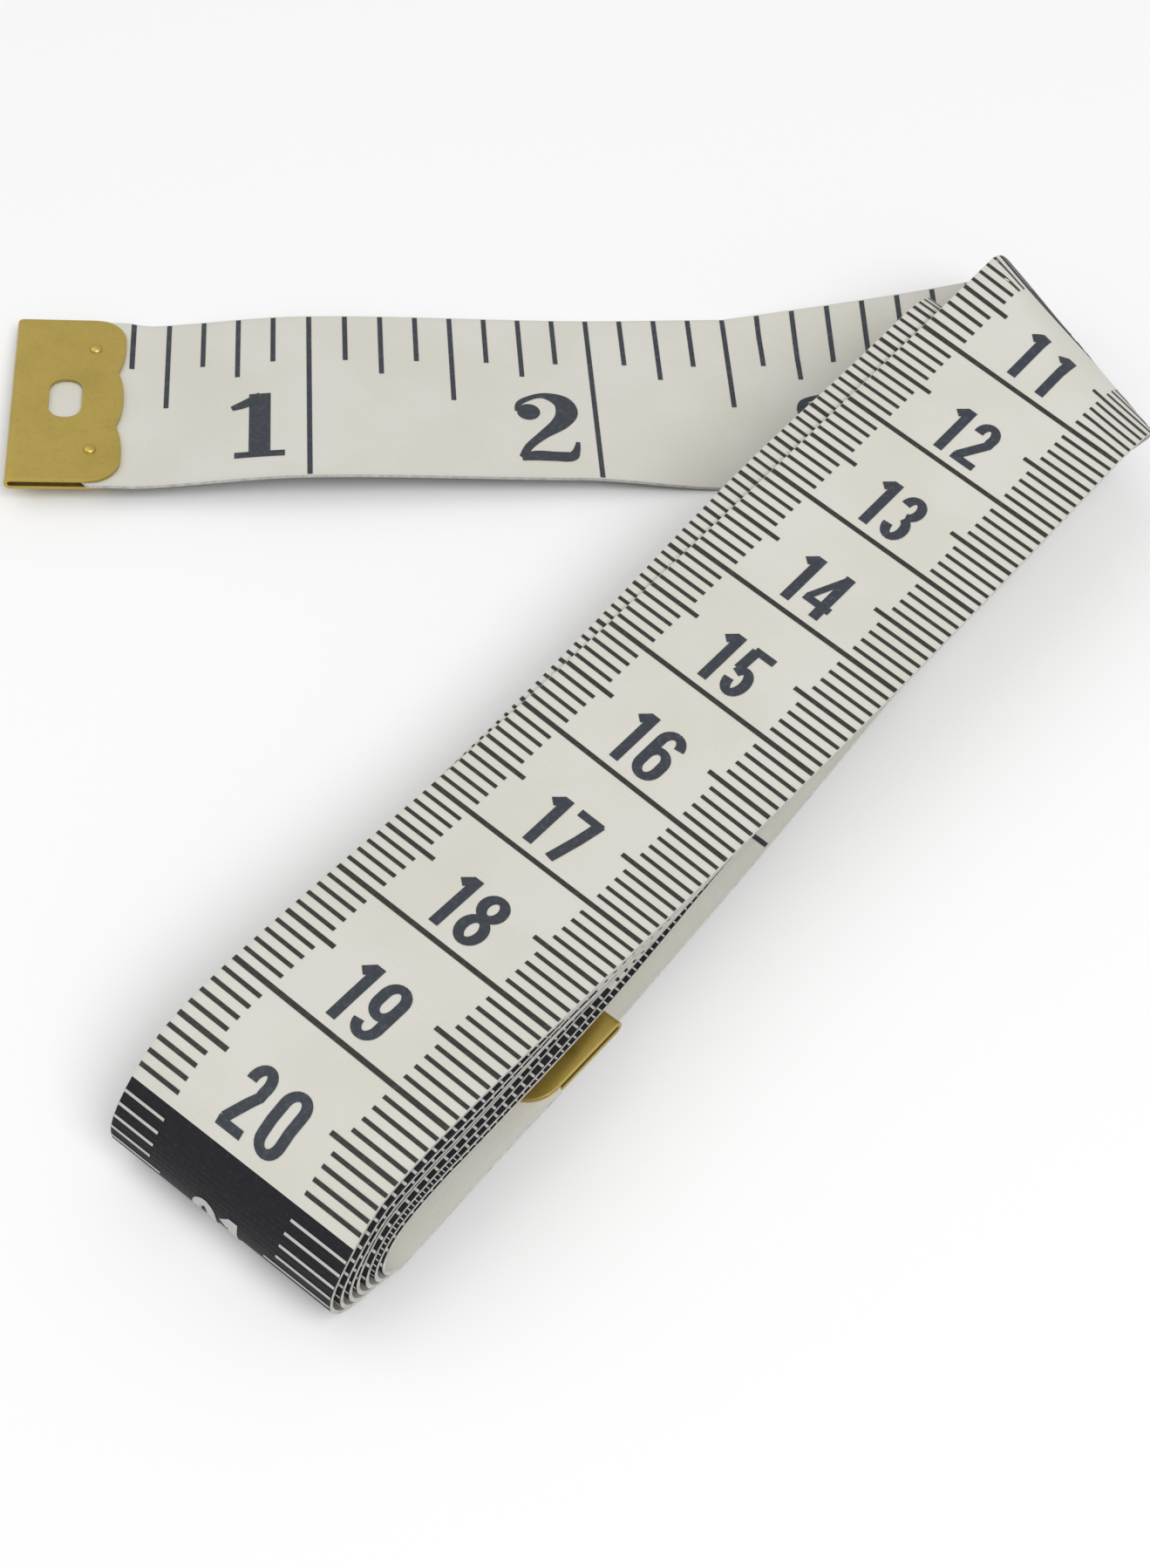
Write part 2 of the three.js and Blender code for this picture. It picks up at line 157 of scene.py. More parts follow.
@dataclass
class TapeGrid:
    """A stretch of tape as rows along its length and columns across its width.

    Args:
        labels: Length along the tape at each point, rows by columns.
        points: The middle surface, rows by columns by three.
        across: Place of each column across the tape, from one edge to the other.
        thickness: Thickness of the tape.
    """

    labels: np.ndarray
    points: np.ndarray
    across: np.ndarray
    thickness: float

    def facing(self) -> np.ndarray:
        """Unit normals of the middle surface, on the inch side.

        Returns:
            One normal for each point, rows by columns by three.
        """
        along = np.gradient(self.points, axis=0)
        over = np.gradient(self.points, axis=1)
        normal = np.cross(over, along)
        return normal / np.linalg.norm(normal, axis=2, keepdims=True)

    def part(self, first: int, last: int) -> TapeGrid:
        """The rows from first up to and with last."""
        rows = slice(first, last + 1)
        return TapeGrid(self.labels[rows], self.points[rows], self.across, self.thickness)

    def row_at(self, label: float) -> int:
        """The row nearest to a length along the tape."""
        middle = self.labels[:, self.labels.shape[1] // 2]
        return int(np.abs(middle - label).argmin())

    def surface(self, where: np.ndarray, side: PrintSide, lift: np.ndarray) -> np.ndarray:
        """Lays flat points of the print onto the tape.

        Args:
            where: Length along and place across of each point, count by two.
            side: The printed side they lie on.
            lift: How far each point stands off that side.

        Returns:
            The points in the tape's frame, count by three.
        """
        facing = self.facing()
        step = self.across[1] - self.across[0]
        inside = len(self.across) - 1.001
        place = np.clip((where[:, 1] - self.across[0]) / step, 0.0, inside)
        column = place.astype(int)
        share = (place - column)[:, None]
        found = np.zeros((len(where), 3))
        for index in np.unique(column):
            chosen = column == index
            near, far = (
                self._along(where[chosen, 0], at, facing, side, lift[chosen]) for at in (index, index + 1)
            )
            found[chosen] = mix(near, far, share[chosen])
        return found

    def _along(
        self, labels: np.ndarray, column: int, facing: np.ndarray, side: PrintSide, lift: np.ndarray
    ) -> np.ndarray:
        """Points at lengths along one column, standing off one side.

        Args:
            labels: Lengths along the tape.
            column: The column's number.
            facing: Normals of the whole grid.
            side: The printed side.
            lift: How far each point stands off that side.

        Returns:
            The points, count by three.
        """
        known = self.labels[:, column]
        middle = np.stack([np.interp(labels, known, self.points[:, column, k]) for k in range(3)], 1)
        normal = np.stack([np.interp(labels, known, facing[:, column, k]) for k in range(3)], 1)
        normal /= np.linalg.norm(normal, axis=1, keepdims=True)
        return middle + normal * (side.value * (self.thickness / 2.0 + lift))[:, None]


def bezier(points: Sequence[np.ndarray], share: float) -> np.ndarray:
    """A point of a cubic curve, for many curves at once.

    Args:
        points: The curves' control points, as four arrays.
        share: Place along the curves, from 0 to 1.

    Returns:
        One point on each curve.
    """
    rest = 1.0 - share
    first, second, third, last = points
    return (
        first * rest**3
        + second * 3.0 * rest**2 * share
        + third * 3.0 * rest * share**2
        + last * share**3
    )


@dataclass
class TapeRoute:
    """How the tape lies: laid out, folded over the hank and wound round and round."""

    # The tape, and the turn from its laid-out end to the hank
    length: float = 1500.0
    width: float = 20.0
    thickness: float = 0.3
    columns: int = 21
    hank_angle: float = math.radians(45.0)
    fold_travel: float = 174.75

    # The laid-out end
    clip_length: float = 9.5
    clip_grip: Pair = (6.0, 6.8)
    clip_tuck: float = 0.9
    tape_start: float = 0.45
    tip_height: float = 1.75
    tip_dip: float = 0.05
    tip_cant: float = 0.061
    clip_step: Pair = (-0.3, 2.2)
    lead_cant: float = 0.08
    cant_fade: float = 48.0
    hump: Triple = (9.5, 25.0, 53.0)
    hump_height: float = 1.08
    print_slip: Pair = (-0.45, 0.9)
    slip_start: float = 10.0
    lead_hinge: float = 62.0
    lead_overlap: float = 0.8
    lead_steps: int = 55
    lift_steps: int = 4
    bend_reach: float = 14.0

    # The fold
    lift_off: Pair = (62.5, 86.4)
    landing: Pair = (99.97, 110.12)
    fold_out: Pair = (85.25, 83.62)
    fold_sweep: float = 1.31
    fold_waist: Pair = (6.51, 6.35)
    fold_lean: Pair = (-0.8, 0.17)
    fold_foot: Pair = (7.62, 2.33)
    fold_rise: Pair = (1.5, 0.09)
    fold_below: Pair = (1.5, 4.86)
    fold_above: Pair = (3.3, 4.68)
    fold_crest: Pair = (1.42, 3.65)
    fold_tilt: float = -0.09
    fold_steps: int = 26
    landing_length: float = 3.0
    landing_steps: int = 12

    # How the print lags on the outermost layer
    print_lag: Pair = (1.15, 0.27)
    fold_lag_end: Pair = (101.0, 113.0)
    far_lag_start: Pair = (104.0, 118.0)
    far_lag_end: Pair = (136.0, 150.0)
    saddle_lag: float = -0.5
    saddle_lag_span: Pair = (-1.0, 14.0)
    near_lag: float = 0.24
    near_lag_span: Pair = (-12.0, 12.0)

    # The winding
    laps: int = 6
    far_bend: float = 108.7
    near_bend: float = 190.0
    near_edge: float = 202.5
    near_waist: float = 0.37
    near_pitch: float = 0.62
    near_return: Pair = (5.0, 0.12)
    near_lean: float = 0.9
    lean_start: float = -2.0
    near_slide: float = 0.6
    slide_start: float = 6.0
    saddle: float = 160.0
    saddle_height: float = 10.3
    saddle_end: float = 5.0
    far_climb: float = 2.1
    far_climb_length: float = 50.0
    near_climb: float = 0.95
    near_climb_end: float = -2.0
    far_twist: float = 0.72
    near_twist: float = -0.4
    twist_span: Pair = (9.0, 2.0)
    twist_hold: float = 0.2
    top_pitch: float = 0.43
    near_spread: float = 0.04
    far_spread: float = 0.07
    far_spread_length: float = 30.0
    under_pitch: float = 0.73
    under_rise: Pair = (123.0, 163.0)
    top_shift: float = 2.15
    top_shift_span: Pair = (16.0, 18.0)
    near_fan: tuple[float, ...] = (0.0, 0.39, 0.57, 0.58, 0.92, 1.2, 1.3)
    fan_start: tuple[float, ...] = (176.0, 176.0, 176.0, 175.0, 172.0, 165.0, 158.0)
    fan_end: float = 1.0
    far_shift: float = 2.2
    tail_shift: float = 2.2
    under_shift_span: Pair = (2.0, -1.0)
    under_fan: float = 0.33
    wobble: float = 0.06
    top_wobble: Pair = (6.0, 1.7)
    under_wobble: Pair = (7.0, 2.3)
    wobble_fade: float = 12.0
    run_steps: int = 26
    bend_steps: int = 22

    # Length of print on the winding: where each upper layer ends, and where the lower strip starts
    bend_slip: float = 0.975
    layer_labels: tuple[float, ...] = (412.5, 615.0, 817.5, 1020.0, 1216.8, 1465.0)
    strip_label: float = 1252.3

    # The tail
    tail_hinge: float = 197.0
    tail_end: float = 174.0
    tail_rise: float = 1.1
    tail_cant: float = 0.11
    tail_steps: int = 15

    def __post_init__(self) -> None:
        """Works out the frame of the fold and of the hank."""
        self.skew = self.hank_angle / 2.0
        self.out = np.array([math.cos(self.skew), math.sin(self.skew), 0.0])
        self.axis = np.array([math.sin(self.skew), -math.cos(self.skew), 0.0])
        self.along = np.array([-math.cos(self.hank_angle), -math.sin(self.hank_angle), 0.0])
        self.over = np.array([math.sin(self.hank_angle), -math.cos(self.hank_angle), 0.0])
        self.across = np.linspace(-self.width / 2.0, self.width / 2.0, self.columns)

    def hank_points(self, u: Any, v: Any, z: Any) -> np.ndarray:
        """Points of the hank, u along its outer layer, v across it and z up.

        Towards the near edge they lean and slide a little to one side.

        Args:
            u: Places along.
            v: Places across.
            z: Heights.

        Returns:
            The points in the tape's frame.
        """
        u, v, z = np.broadcast_arrays(*(np.asarray(value, float) for value in (u, v, z)))
        base = self.out * self.fold_travel
        up = np.array([0.0, 0.0, 1.0])
        lean = self.near_lean * smooth(u, self.near_bend + self.lean_start, self.near_edge)
        slide = self.near_slide * smooth(u, self.near_bend + self.slide_start, self.near_edge)
        u, v = u - lean * v / self.width, v + slide
        return base + u[..., None] * self.along + v[..., None] * self.over + z[..., None] * up

    def lead_height(self, x: Any, across: Any) -> Any:
        """Height of the laid-out end's middle surface, which lies canted and lifts in a low hump.

        Args:
            x: Places along the laid-out end.
            across: Places across it.

        Returns:
            The height at each place.
        """
        x = np.asarray(x, float)
        start, crest, end = self.hump
        hump = self.hump_height * smooth(x, start, crest) * (1.0 - smooth(x, crest, end))
        level = smooth(x, self.cant_fade, self.lead_hinge)
        cant = self.lead_cant * (across + self.width / 2.0) * (1.0 - level)
        plate = self.tip_height - self.tip_dip * x + self.tip_cant * across
        share = smooth(x, *(self.clip_length + step for step in self.clip_step))
        return mix(plate, self.thickness / 2.0 + cant + hump, share)

    def top_height(self, u: Any) -> Any:
        """Height of the outermost layer's top, which sags along the hank.

        Args:
            u: Places along the hank.

        Returns:
            The height at each place.
        """
        u = np.asarray(u, float)
        far = np.clip((self.saddle - u) / self.far_climb_length, 0.0, None) ** 2
        near = smooth(u, self.saddle + self.saddle_end, self.near_bend + self.near_climb_end)
        return self.saddle_height + self.far_climb * far + self.near_climb * near

    def twist(self, u: Any) -> Any:
        """How much higher than its middle one edge of the upper layers lies."""
        start, end = self.far_bend + self.twist_span[0], self.near_bend + self.twist_span[1]
        return mix(self.far_twist, self.near_twist, smooth(u, start, end))

    def layer_height(self, layer: int, u: Any) -> Any:
        """Height of the middle of one of the upper layers.

        Args:
            layer: The layer's number, 0 for the outermost.
            u: Places along the hank.

        Returns:
            The height at each place.
        """
        near = self.near_spread * smooth(u, self.saddle + self.saddle_end, self.near_bend)
        far = self.far_spread * (1.0 - smooth(u, self.far_bend, self.far_bend + self.far_spread_length))
        return self.top_height(u) - self.thickness / 2.0 - layer * (self.top_pitch + near + far)

    def under_height(self, layer: int, u: Any) -> Any:
        """Height of the middle of one of the lower layers, which rise over the laid-out end."""
        rise = 1.0 - smooth(u, *self.under_rise)
        return self.thickness / 2.0 + self.under_pitch * (layer + rise)

    def layer_shift(self, layer: int, u: Any) -> Any:
        """How far an upper layer lies to one side.

        Args:
            layer: The layer's number, 0 for the outermost.
            u: Places along the hank.

        Returns:
            The shift at each place.
        """
        u = np.asarray(u, float)
        if layer == 0:
            return 0.0 * u
        near = self.near_fan[layer] * smooth(u, self.fan_start[layer], self.near_bend + self.fan_end)
        start, end = self.far_bend + self.top_shift_span[0], self.saddle + self.top_shift_span[1]
        far = self.top_shift * (1.0 - smooth(u, start, end))
        return near - far + self._wobbled(self.top_wobble, layer, u)

    def under_shift(self, layer: int, u: Any) -> Any:
        """How far a lower layer lies to one side.

        Args:
            layer: The layer's number, 0 for the outermost.
            u: Places along the hank.

        Returns:
            The shift at each place.
        """
        start, end = self.far_bend + self.under_shift_span[0], self.near_edge + self.under_shift_span[1]
        aside = mix(-self.far_shift, self.tail_shift, smooth(u, start, end))
        aside = aside - self.under_fan * (self.laps - layer)
        return aside + self._wobbled(self.under_wobble, layer, u)

    def _wobbled(self, wave: Pair, layer: int, u: Any) -> Any:
        """How far a layer strays, which fades out towards the bends.

        Args:
            wave: Length along the hank for one radian of the wave, and its step from layer to layer.
            layer: The layer's number.
            u: Places along the hank.

        Returns:
            The shift to one side at each place.
        """
        length, step = wave
        stray = np.sin(np.asarray(u, float) / length + step * layer)
        free = smooth(u, self.far_bend, self.far_bend + self.wobble_fade)
        free = free * (1.0 - smooth(u, self.near_bend - self.wobble_fade, self.near_bend))
        return self.wobble * stray * free

    def _lead_rows(self) -> list[tuple[np.ndarray, np.ndarray]]:
        """Rows of the laid-out end, up to where it lifts off towards the fold.

        Returns:
            Length along the tape and the points of each row.
        """
        start = self.clip_length - self.lead_overlap
        laid = np.linspace(start, self.lead_hinge, self.lead_steps)
        marks = [self.tape_start, *self.clip_grip, *laid]
        rows = [np.full(self.columns, mark) for mark in marks]
        edge = mix(*self.lift_off, self._share())
        rows += [mix(marks[-1], edge, step / self.lift_steps) for step in range(1, self.lift_steps)]
        return [
            (self._slipped(row), np.stack([row, -self._tucked(row), self.lead_height(row, self.across)], 1))
            for row in rows
        ]

    def _tucked(self, from_tip: Any) -> np.ndarray:
        """Places across the tape, which is drawn in a little where its clip grips it."""
        tuck = self.clip_tuck * (1.0 - smooth(from_tip, *self.clip_grip))
        return self.across * (1.0 - 2.0 * tuck / self.width)

    def _slipped(self, x: np.ndarray) -> np.ndarray:
        """Length along the tape at a place on the laid-out end, whose hump takes up a little.

        Args:
            x: Places along the laid-out end.

        Returns:
            The length at each place.
        """
        tip, end = self.print_slip
        crest = self.hump[1]
        near = 1.0 - smooth(x, self.slip_start, crest)
        return x + tip * near + end * smooth(x, crest, self.lead_hinge)

    def _lagged(self, u: np.ndarray) -> np.ndarray:
        """Length along the tape at a place on the outermost layer, which lies a little askew.

        Args:
            u: Places along the hank, one for each column.

        Returns:
            The length at each place.
        """
        share = self._share()
        fold = self.print_lag[0] * (1.0 - share) * (1.0 - smooth(u, *self.fold_lag_end))
        far = self.print_lag[1] * share * smooth(u, *self.far_lag_start)
        far = far * (1.0 - smooth(u, *self.far_lag_end))
        shift, reach = self.saddle_lag_span
        saddle = self.saddle_lag * share * swell(u, self.saddle + shift, reach)
        shift, reach = self.near_lag_span
        near = self.near_lag * swell(u, self.near_bend + shift, reach)
        return u + fold + far + saddle + near

    def _share(self) -> np.ndarray:
        """Place across the tape, from 0 at one edge to 1 at the other."""
        return (self.across + self.width / 2.0) / self.width

    def _fold_rows(self) -> list[tuple[np.ndarray, np.ndarray]]:
        """Rows of the fold that carries the laid-out end up and over the hank.

        Returns:
            Length along the tape and the points of each row.
        """
        share = self._share()
        sine, cosine = math.sin(self.skew), math.cos(self.skew)
        start = mix(*self.lift_off, share)
        end = mix(*self.landing, share)
        foot = np.stack([start * cosine - self.across * sine, self.lead_height(start, self.across)], 1)
        crest_q = self.fold_travel - end * cosine + self.across * sine
        crest = np.stack([crest_q, self._top_rows_height(end)], 1)
        waist = np.stack([mix(*self.fold_out, share**self.fold_sweep), mix(*self.fold_waist, share)], 1)
        lean = np.stack([mix(*self.fold_lean, share), np.ones_like(share)], 1)
        flat = np.array([1.0, self.fold_tilt])
        lower = [
            foot,
            foot + np.stack([mix(*self.fold_foot, share), mix(*self.fold_rise, share)], 1),
            waist - lean * mix(*self.fold_below, share)[:, None],
            waist,
        ]
        upper = [
            waist,
            waist + lean * mix(*self.fold_above, share)[:, None],
            crest + flat * mix(*self.fold_crest, share)[:, None],
            crest,
        ]
        steps = np.linspace(0.0, 1.0, self.fold_steps + 1)
        profile = [bezier(lower, step) for step in steps] + [bezier(upper, step) for step in steps[1:]]
        profile = np.array(profile)
        travel = np.linalg.norm(np.diff(profile, axis=0), axis=2).cumsum(axis=0)
        travel = np.concatenate([np.zeros((1, self.columns)), travel])
        shares = travel / travel[-1]
        rows = []
        for step, points in zip(shares, profile):
            label = mix(self._slipped(start), self._lagged(end), step)
            drift = mix(start, end, step) * sine + self.across * cosine
            place = drift[:, None] * self.axis + points[:, :1] * self.out
            place[:, 2] = points[:, 1]
            rows.append((label, place))
        return rows

    def _top_rows_height(self, label: np.ndarray) -> np.ndarray:
        """Height of the outermost layer, with its twist."""
        return self.layer_height(0, label) - self.twist(label) * self.across / self.width * 2.0

    def _top_rows(self) -> list[tuple[np.ndarray, np.ndarray]]:
        """Rows of the outermost layer, from the fold to the first near bend.

        Returns:
            Length along the tape and the points of each row.
        """
        edge = mix(*self.landing, self._share())
        first = self.landing[1] + self.landing_length
        places = [mix(edge, first, step / self.landing_steps) for step in range(1, self.landing_steps)]
        places += [np.full(self.columns, u) for u in np.linspace(first, self.near_bend, self.run_steps)]
        return [
            (self._lagged(u), self.hank_points(u, self.across, self._top_rows_height(u))) for u in places
        ]

    def _near_line(self, layer: int) -> np.ndarray:
        """Middle line of a near bend, which droops before it turns under.

        Args:
            layer: The upper layer that it begins from.

        Returns:
            Points as u, v, z and twist, from after the upper layer to the start of the lower one.
        """
        top = float(self.layer_height(layer, self.near_bend))
        under = float(self.under_height(layer, self.near_edge))
        waist = mix(under, top, self.near_waist)
        edge = self.near_edge - layer * self.near_pitch
        back = edge - self._under_start(layer)
        angle = np.linspace(0.0, np.pi / 2.0, self.bend_steps // 2 + 1)
        ahead = edge - self.near_bend
        upper = [self.near_bend + ahead * np.sin(angle), waist + (top - waist) * np.cos(angle)]
        lower = [edge - back * (1.0 - np.cos(angle)), waist - (waist - under) * np.sin(angle)]
        u, z = (np.concatenate([high[1:], low[1:]]) for high, low in zip(upper, lower))
        share = np.linspace(0.0, 1.0, len(u) + 1)[1:]
        above = float(self.layer_shift(layer, self.near_bend))
        below = float(self.under_shift(layer, self.near_edge))
        v = mix(above, below, smooth(share, 0.0, 1.0))
        return np.stack([u, v, z, self.near_twist * (1.0 - smooth(share, self.twist_hold, 1.0))], 1)

    def _under_start(self, layer: int) -> float:
        """Where a lower layer leaves its near bend."""
        back, step = self.near_return
        return self.near_edge - back - step * layer

    def _far_line(self, layer: int) -> np.ndarray:
        """Middle line of the far bend from a lower layer to the next upper one, as u, v, z and twist.

        Args:
            layer: The lower layer that it begins from.

        Returns:
            The points between the two layers.
        """
        share = np.arange(1, self.bend_steps) / self.bend_steps
        angle = np.pi * share
        low = float(self.under_height(layer, self.far_bend))
        high = float(self.layer_height(layer + 1, self.far_bend))
        radius = (high - low) / 2.0
        below = float(self.under_shift(layer, self.far_bend))
        above = float(self.layer_shift(layer + 1, self.far_bend))
        u = self.far_bend - radius * np.sin(angle)
        v = mix(below, above, smooth(share, 0.0, 1.0))
        twist = float(self.twist(self.far_bend)) * smooth(share, 0.0, 1.0)
        return np.stack([u, v, low + radius * (1.0 - np.cos(angle)), twist], 1)

    def _winding_line(self) -> list[np.ndarray]:
        """Middle line of the winding as u, v, z and twist, bend by bend and run by run.

        Returns:
            The points of each bend and run.
        """
        pieces = []
        for lap in range(self.laps + 1):
            pieces.append(self._near_line(lap))
            if lap == self.laps:
                break
            back = np.linspace(self._under_start(lap), self.far_bend, self.run_steps)[1:]
            pieces.append(
                np.stack([back, self.under_shift(lap, back), self.under_height(lap, back), 0.0 * back], 1)
            )
            pieces.append(self._far_line(lap))
            out = np.linspace(self.far_bend, self.near_bend, self.run_steps)
            shift, height = self.layer_shift(lap + 1, out), self.layer_height(lap + 1, out)
            pieces.append(np.stack([out, shift, height, self.twist(out)], 1))
        return pieces

    def _tail_line(self) -> np.ndarray:
        """Middle line of the tail as u, v, z and twist, back inside the hollow to its clip.

        Returns:
            The points, with the end of the tape last.
        """
        edge = self.tail_end + self.clip_length
        stop = self.tail_end + self.tape_start
        held = [self.tail_end + grip for grip in reversed(self.clip_grip)]
        run = np.linspace(self._under_start(self.laps), edge, self.tail_steps)[1:]
        u = np.concatenate([run, held, [stop]])
        lift = np.clip((self.tail_hinge - u) / (self.tail_hinge - stop), 0.0, 1.0)
        v = np.full_like(u, float(self.under_shift(self.laps, self.near_edge)))
        height = self.under_height(self.laps, u) + self.tail_rise * lift
        cant = self.tail_cant * (1.0 - smooth(u, edge, self.tail_hinge))
        return np.stack([u, v, height, -cant * self.width / 2.0], 1)

    def grid(self) -> tuple[TapeGrid, int, int]:
        """Lays the whole tape.

        Returns:
            The grid, the row of the laid-out end's hinge and the row where the tail begins.
        """
        rows = self._lead_rows() + self._fold_rows() + self._top_rows()
        winding = self._winding_line()
        tail = self._tail_line()
        begin = np.array([[self.near_bend, 0.0, float(self.layer_height(0, self.near_bend)), 0.0]])
        line = np.concatenate([begin, *winding, tail])
        travel = np.linalg.norm(np.diff(line[:, :3], axis=0), axis=1).cumsum()
        sizes = np.cumsum([len(piece) for piece in winding])
        strip = sizes[-5:-3]
        marks = [sizes[0], *sizes[3:-4:4], *strip, sizes[-2], sizes[-1] - len(winding[-1]) // 2]
        turns = [0.0, *(travel[mark - 1] for mark in marks), travel[-1]]
        first = self.near_bend + self.bend_slip * turns[1]
        begun, done = (travel[mark - 1] for mark in strip)
        run = [self.strip_label, self.strip_label + done - begun]
        last = self.length - self.tape_start
        ends = [self.near_bend, first, *self.layer_labels[:-1], *run, self.layer_labels[-1]]
        labels = np.interp(travel, turns, [*ends, last - turns[-1] + turns[-2], last])
        for label, (u, v, z, twist) in zip(labels, line[1:]):
            height = z - twist * self.across / self.width * 2.0
            across = self._tucked(self.length - label)
            rows.append((np.full(self.columns, label), self.hank_points(u, v + across, height)))
        marked, laid = (np.array(values) for values in zip(*rows))
        grid = TapeGrid(marked, laid, self.across, self.thickness)
        LOG.info("winding drawn at %.3f of its length", travel[-1] / (labels[-1] - self.near_bend))
        return grid, grid.row_at(float(self._slipped(np.array(self.lead_hinge)))), len(rows) - len(tail) - 1

    def lead_clip_place(self) -> Matrix:
        """Where the zero-end clip lies, in the tape's frame.

        Returns:
            The clip's place and turn.
        """
        along = Vector((1.0, 0.0, -self.tip_dip)).normalized()
        over = Vector((0.0, 1.0, -self.tip_cant))
        up = along.cross(over).normalized()
        turned = Matrix((along, up.cross(along), up)).transposed().to_4x4()
        return Matrix.Translation((0.0, 0.0, self.tip_height)) @ turned

    def tail_clip_place(self) -> Matrix:
        """Where the far-end clip sits, in the tape's frame.

        Returns:
            The clip's place and turn.
        """
        u, v, z, twist = self._tail_line()[-1]
        before = self._tail_line()[-2]
        spot = Vector(self.hank_points(self.tail_end, v, z))
        fall = math.atan2(float(z - before[2]), float(before[0] - u))
        cant = math.atan2(-2.0 * float(twist), self.width)
        turned = Matrix.Rotation(math.pi + self.hank_angle, 4, "Z")
        tilted = Matrix.Rotation(fall, 4, "Y") @ Matrix.Rotation(cant, 4, "X")
        return Matrix.Translation(spot) @ turned @ tilted

    def tail_point(self, u: float) -> np.ndarray:
        """A point on the tail's middle line."""
        _, v, z, _ = self._tail_line()[0]
        return self.hank_points(u, v, z)


def new_mesh_object(name: str, points: np.ndarray, faces: Sequence[Sequence[int]]) -> bpy.types.Object:
    """Makes a mesh object at the origin from points in the row frame.

    Args:
        name: Name of the object and its mesh.
        points: The points, count by three.
        faces: Numbers of each face's points.

    Returns:
        The object, linked to the scene.
    """
    mesh = bpy.data.meshes.new(name)
    mesh.from_pydata(points.tolist(), [], [list(face) for face in faces])
    mesh.update()
    made = bpy.data.objects.new(name, mesh)
    bpy.context.scene.collection.objects.link(made)
    return made


def copy_of(model: bpy.types.Object, name: str, place: Matrix) -> bpy.types.Object:
    """Copies a modelled piece, with a mesh of its own that is moved to its place.

    Args:
        model: The modelled piece.
        name: Name of the copy and its mesh.
        place: The move to its place.

    Returns:
        The copy, linked to the scene.
    """
    made = bpy.data.objects.new(name, model.data.copy())
    made.data.name = name
    made.data.transform(place)
    bpy.context.scene.collection.objects.link(made)
    return made


def select_only(*objects: bpy.types.Object) -> None:
    """Selects these objects alone and makes the first one active.

    Args:
        objects: The objects, the active one first.
    """
    for other in bpy.context.selected_objects:
        other.select_set(False)
    for chosen in objects:
        chosen.select_set(True)
    bpy.context.view_layer.objects.active = objects[0]


def apply_modifier(made: bpy.types.Object, kind: str, **settings: Any) -> None:
    """Adds a modifier with its settings and applies it.

    Args:
        made: The object that it changes.
        kind: The modifier's type.
        settings: The modifier's properties.
    """
    select_only(made)
    modifier = made.modifiers.new(kind.lower(), kind)
    for name, value in settings.items():
        setattr(modifier, name, value)
    bpy.ops.object.modifier_apply(modifier=modifier.name)


def select_edges(made: bpy.types.Object, wanted: Callable[[Vector, Vector], bool]) -> None:
    """Selects the edges whose two ends pass a test, from edit mode and back to it.

    Args:
        made: The object that is in edit mode.
        wanted: The test of an edge's two ends.
    """
    bpy.ops.mesh.select_all(action="DESELECT")
    bpy.ops.mesh.select_mode(type="EDGE")
    bpy.ops.object.mode_set(mode="OBJECT")
    for edge in made.data.edges:
        edge.select = wanted(*(made.data.vertices[index].co for index in edge.vertices))
    bpy.ops.object.mode_set(mode="EDIT")


class Value:
    """A number's socket in a node tree, with the operators of shader maths."""

    def __init__(self, sheet: NodeSheet, socket: bpy.types.NodeSocket) -> None:
        """Wraps one output socket of a sheet."""
        self.sheet = sheet
        self.socket = socket

    def _maths(self, operation: str, *inputs: Any) -> Value:
        """Adds one Math node."""
        return self.sheet.node("ShaderNodeMath", {"operation": operation}, dict(enumerate(inputs)))

    def __add__(self, other: Any) -> Value:
        """Adds."""
        return self._maths("ADD", self, other)

    __radd__ = __add__

    def __mul__(self, other: Any) -> Value:
        """Multiplies."""
        return self._maths("MULTIPLY", self, other)

    __rmul__ = __mul__

    def __abs__(self) -> Value:
        """Drops the sign."""
        return self._maths("ABSOLUTE", self)

    def __lt__(self, other: Any) -> Value:
        """1 where this is less, 0 elsewhere."""
        return self._maths("LESS_THAN", self, other)

    def larger(self, other: Any) -> Value:
        """The larger of two numbers."""
        return self._maths("MAXIMUM", self, other)

    def fraction(self) -> Value:
        """The part after the point."""
        return self._maths("FRACT", self)

    def sine(self) -> Value:
        """The sine of an angle."""
        return self._maths("SINE", self)

    def eased(self, low: float, high: float) -> Value:
        """Eases from 0 at low to 1 at high."""
        settings = {"interpolation_type": "SMOOTHSTEP"}
        return self.sheet.node("ShaderNodeMapRange", settings, {"Value": self, 1: low, 2: high})


class NodeSheet:
    """A node tree and the one way to add to it."""

    def __init__(self, tree: bpy.types.NodeTree) -> None:
        """Takes a tree that has its output node."""
        self.tree = tree

    def node(self, kind: str, settings: dict[str, Any], inputs: dict[Any, Any], output: Any = 0) -> Value:
        """Adds a node.

        Args:
            kind: The node's type.
            settings: The node's properties, set first.
            inputs: Values or links by socket name or number.
            output: Name or number of the output to give back.

        Returns:
            The wrapped output socket.
        """
        made = self.tree.nodes.new(kind)
        for name, value in settings.items():
            setattr(made, name, value)
        for key, value in inputs.items():
            self.feed(made.inputs[key], value)
        return Value(self, made.outputs[output])

    def feed(self, socket: bpy.types.NodeSocket, value: Any) -> None:
        """Links a wrapped socket, or sets a plain value.

        Args:
            socket: The input socket.
            value: A wrapped socket, a number or a colour.
        """
        if isinstance(value, Value):
            self.tree.links.new(value.socket, socket)
        elif isinstance(value, tuple) and len(value) == 3 and socket.type == "RGBA":
            socket.default_value = (*value, 1.0)
        else:
            socket.default_value = value


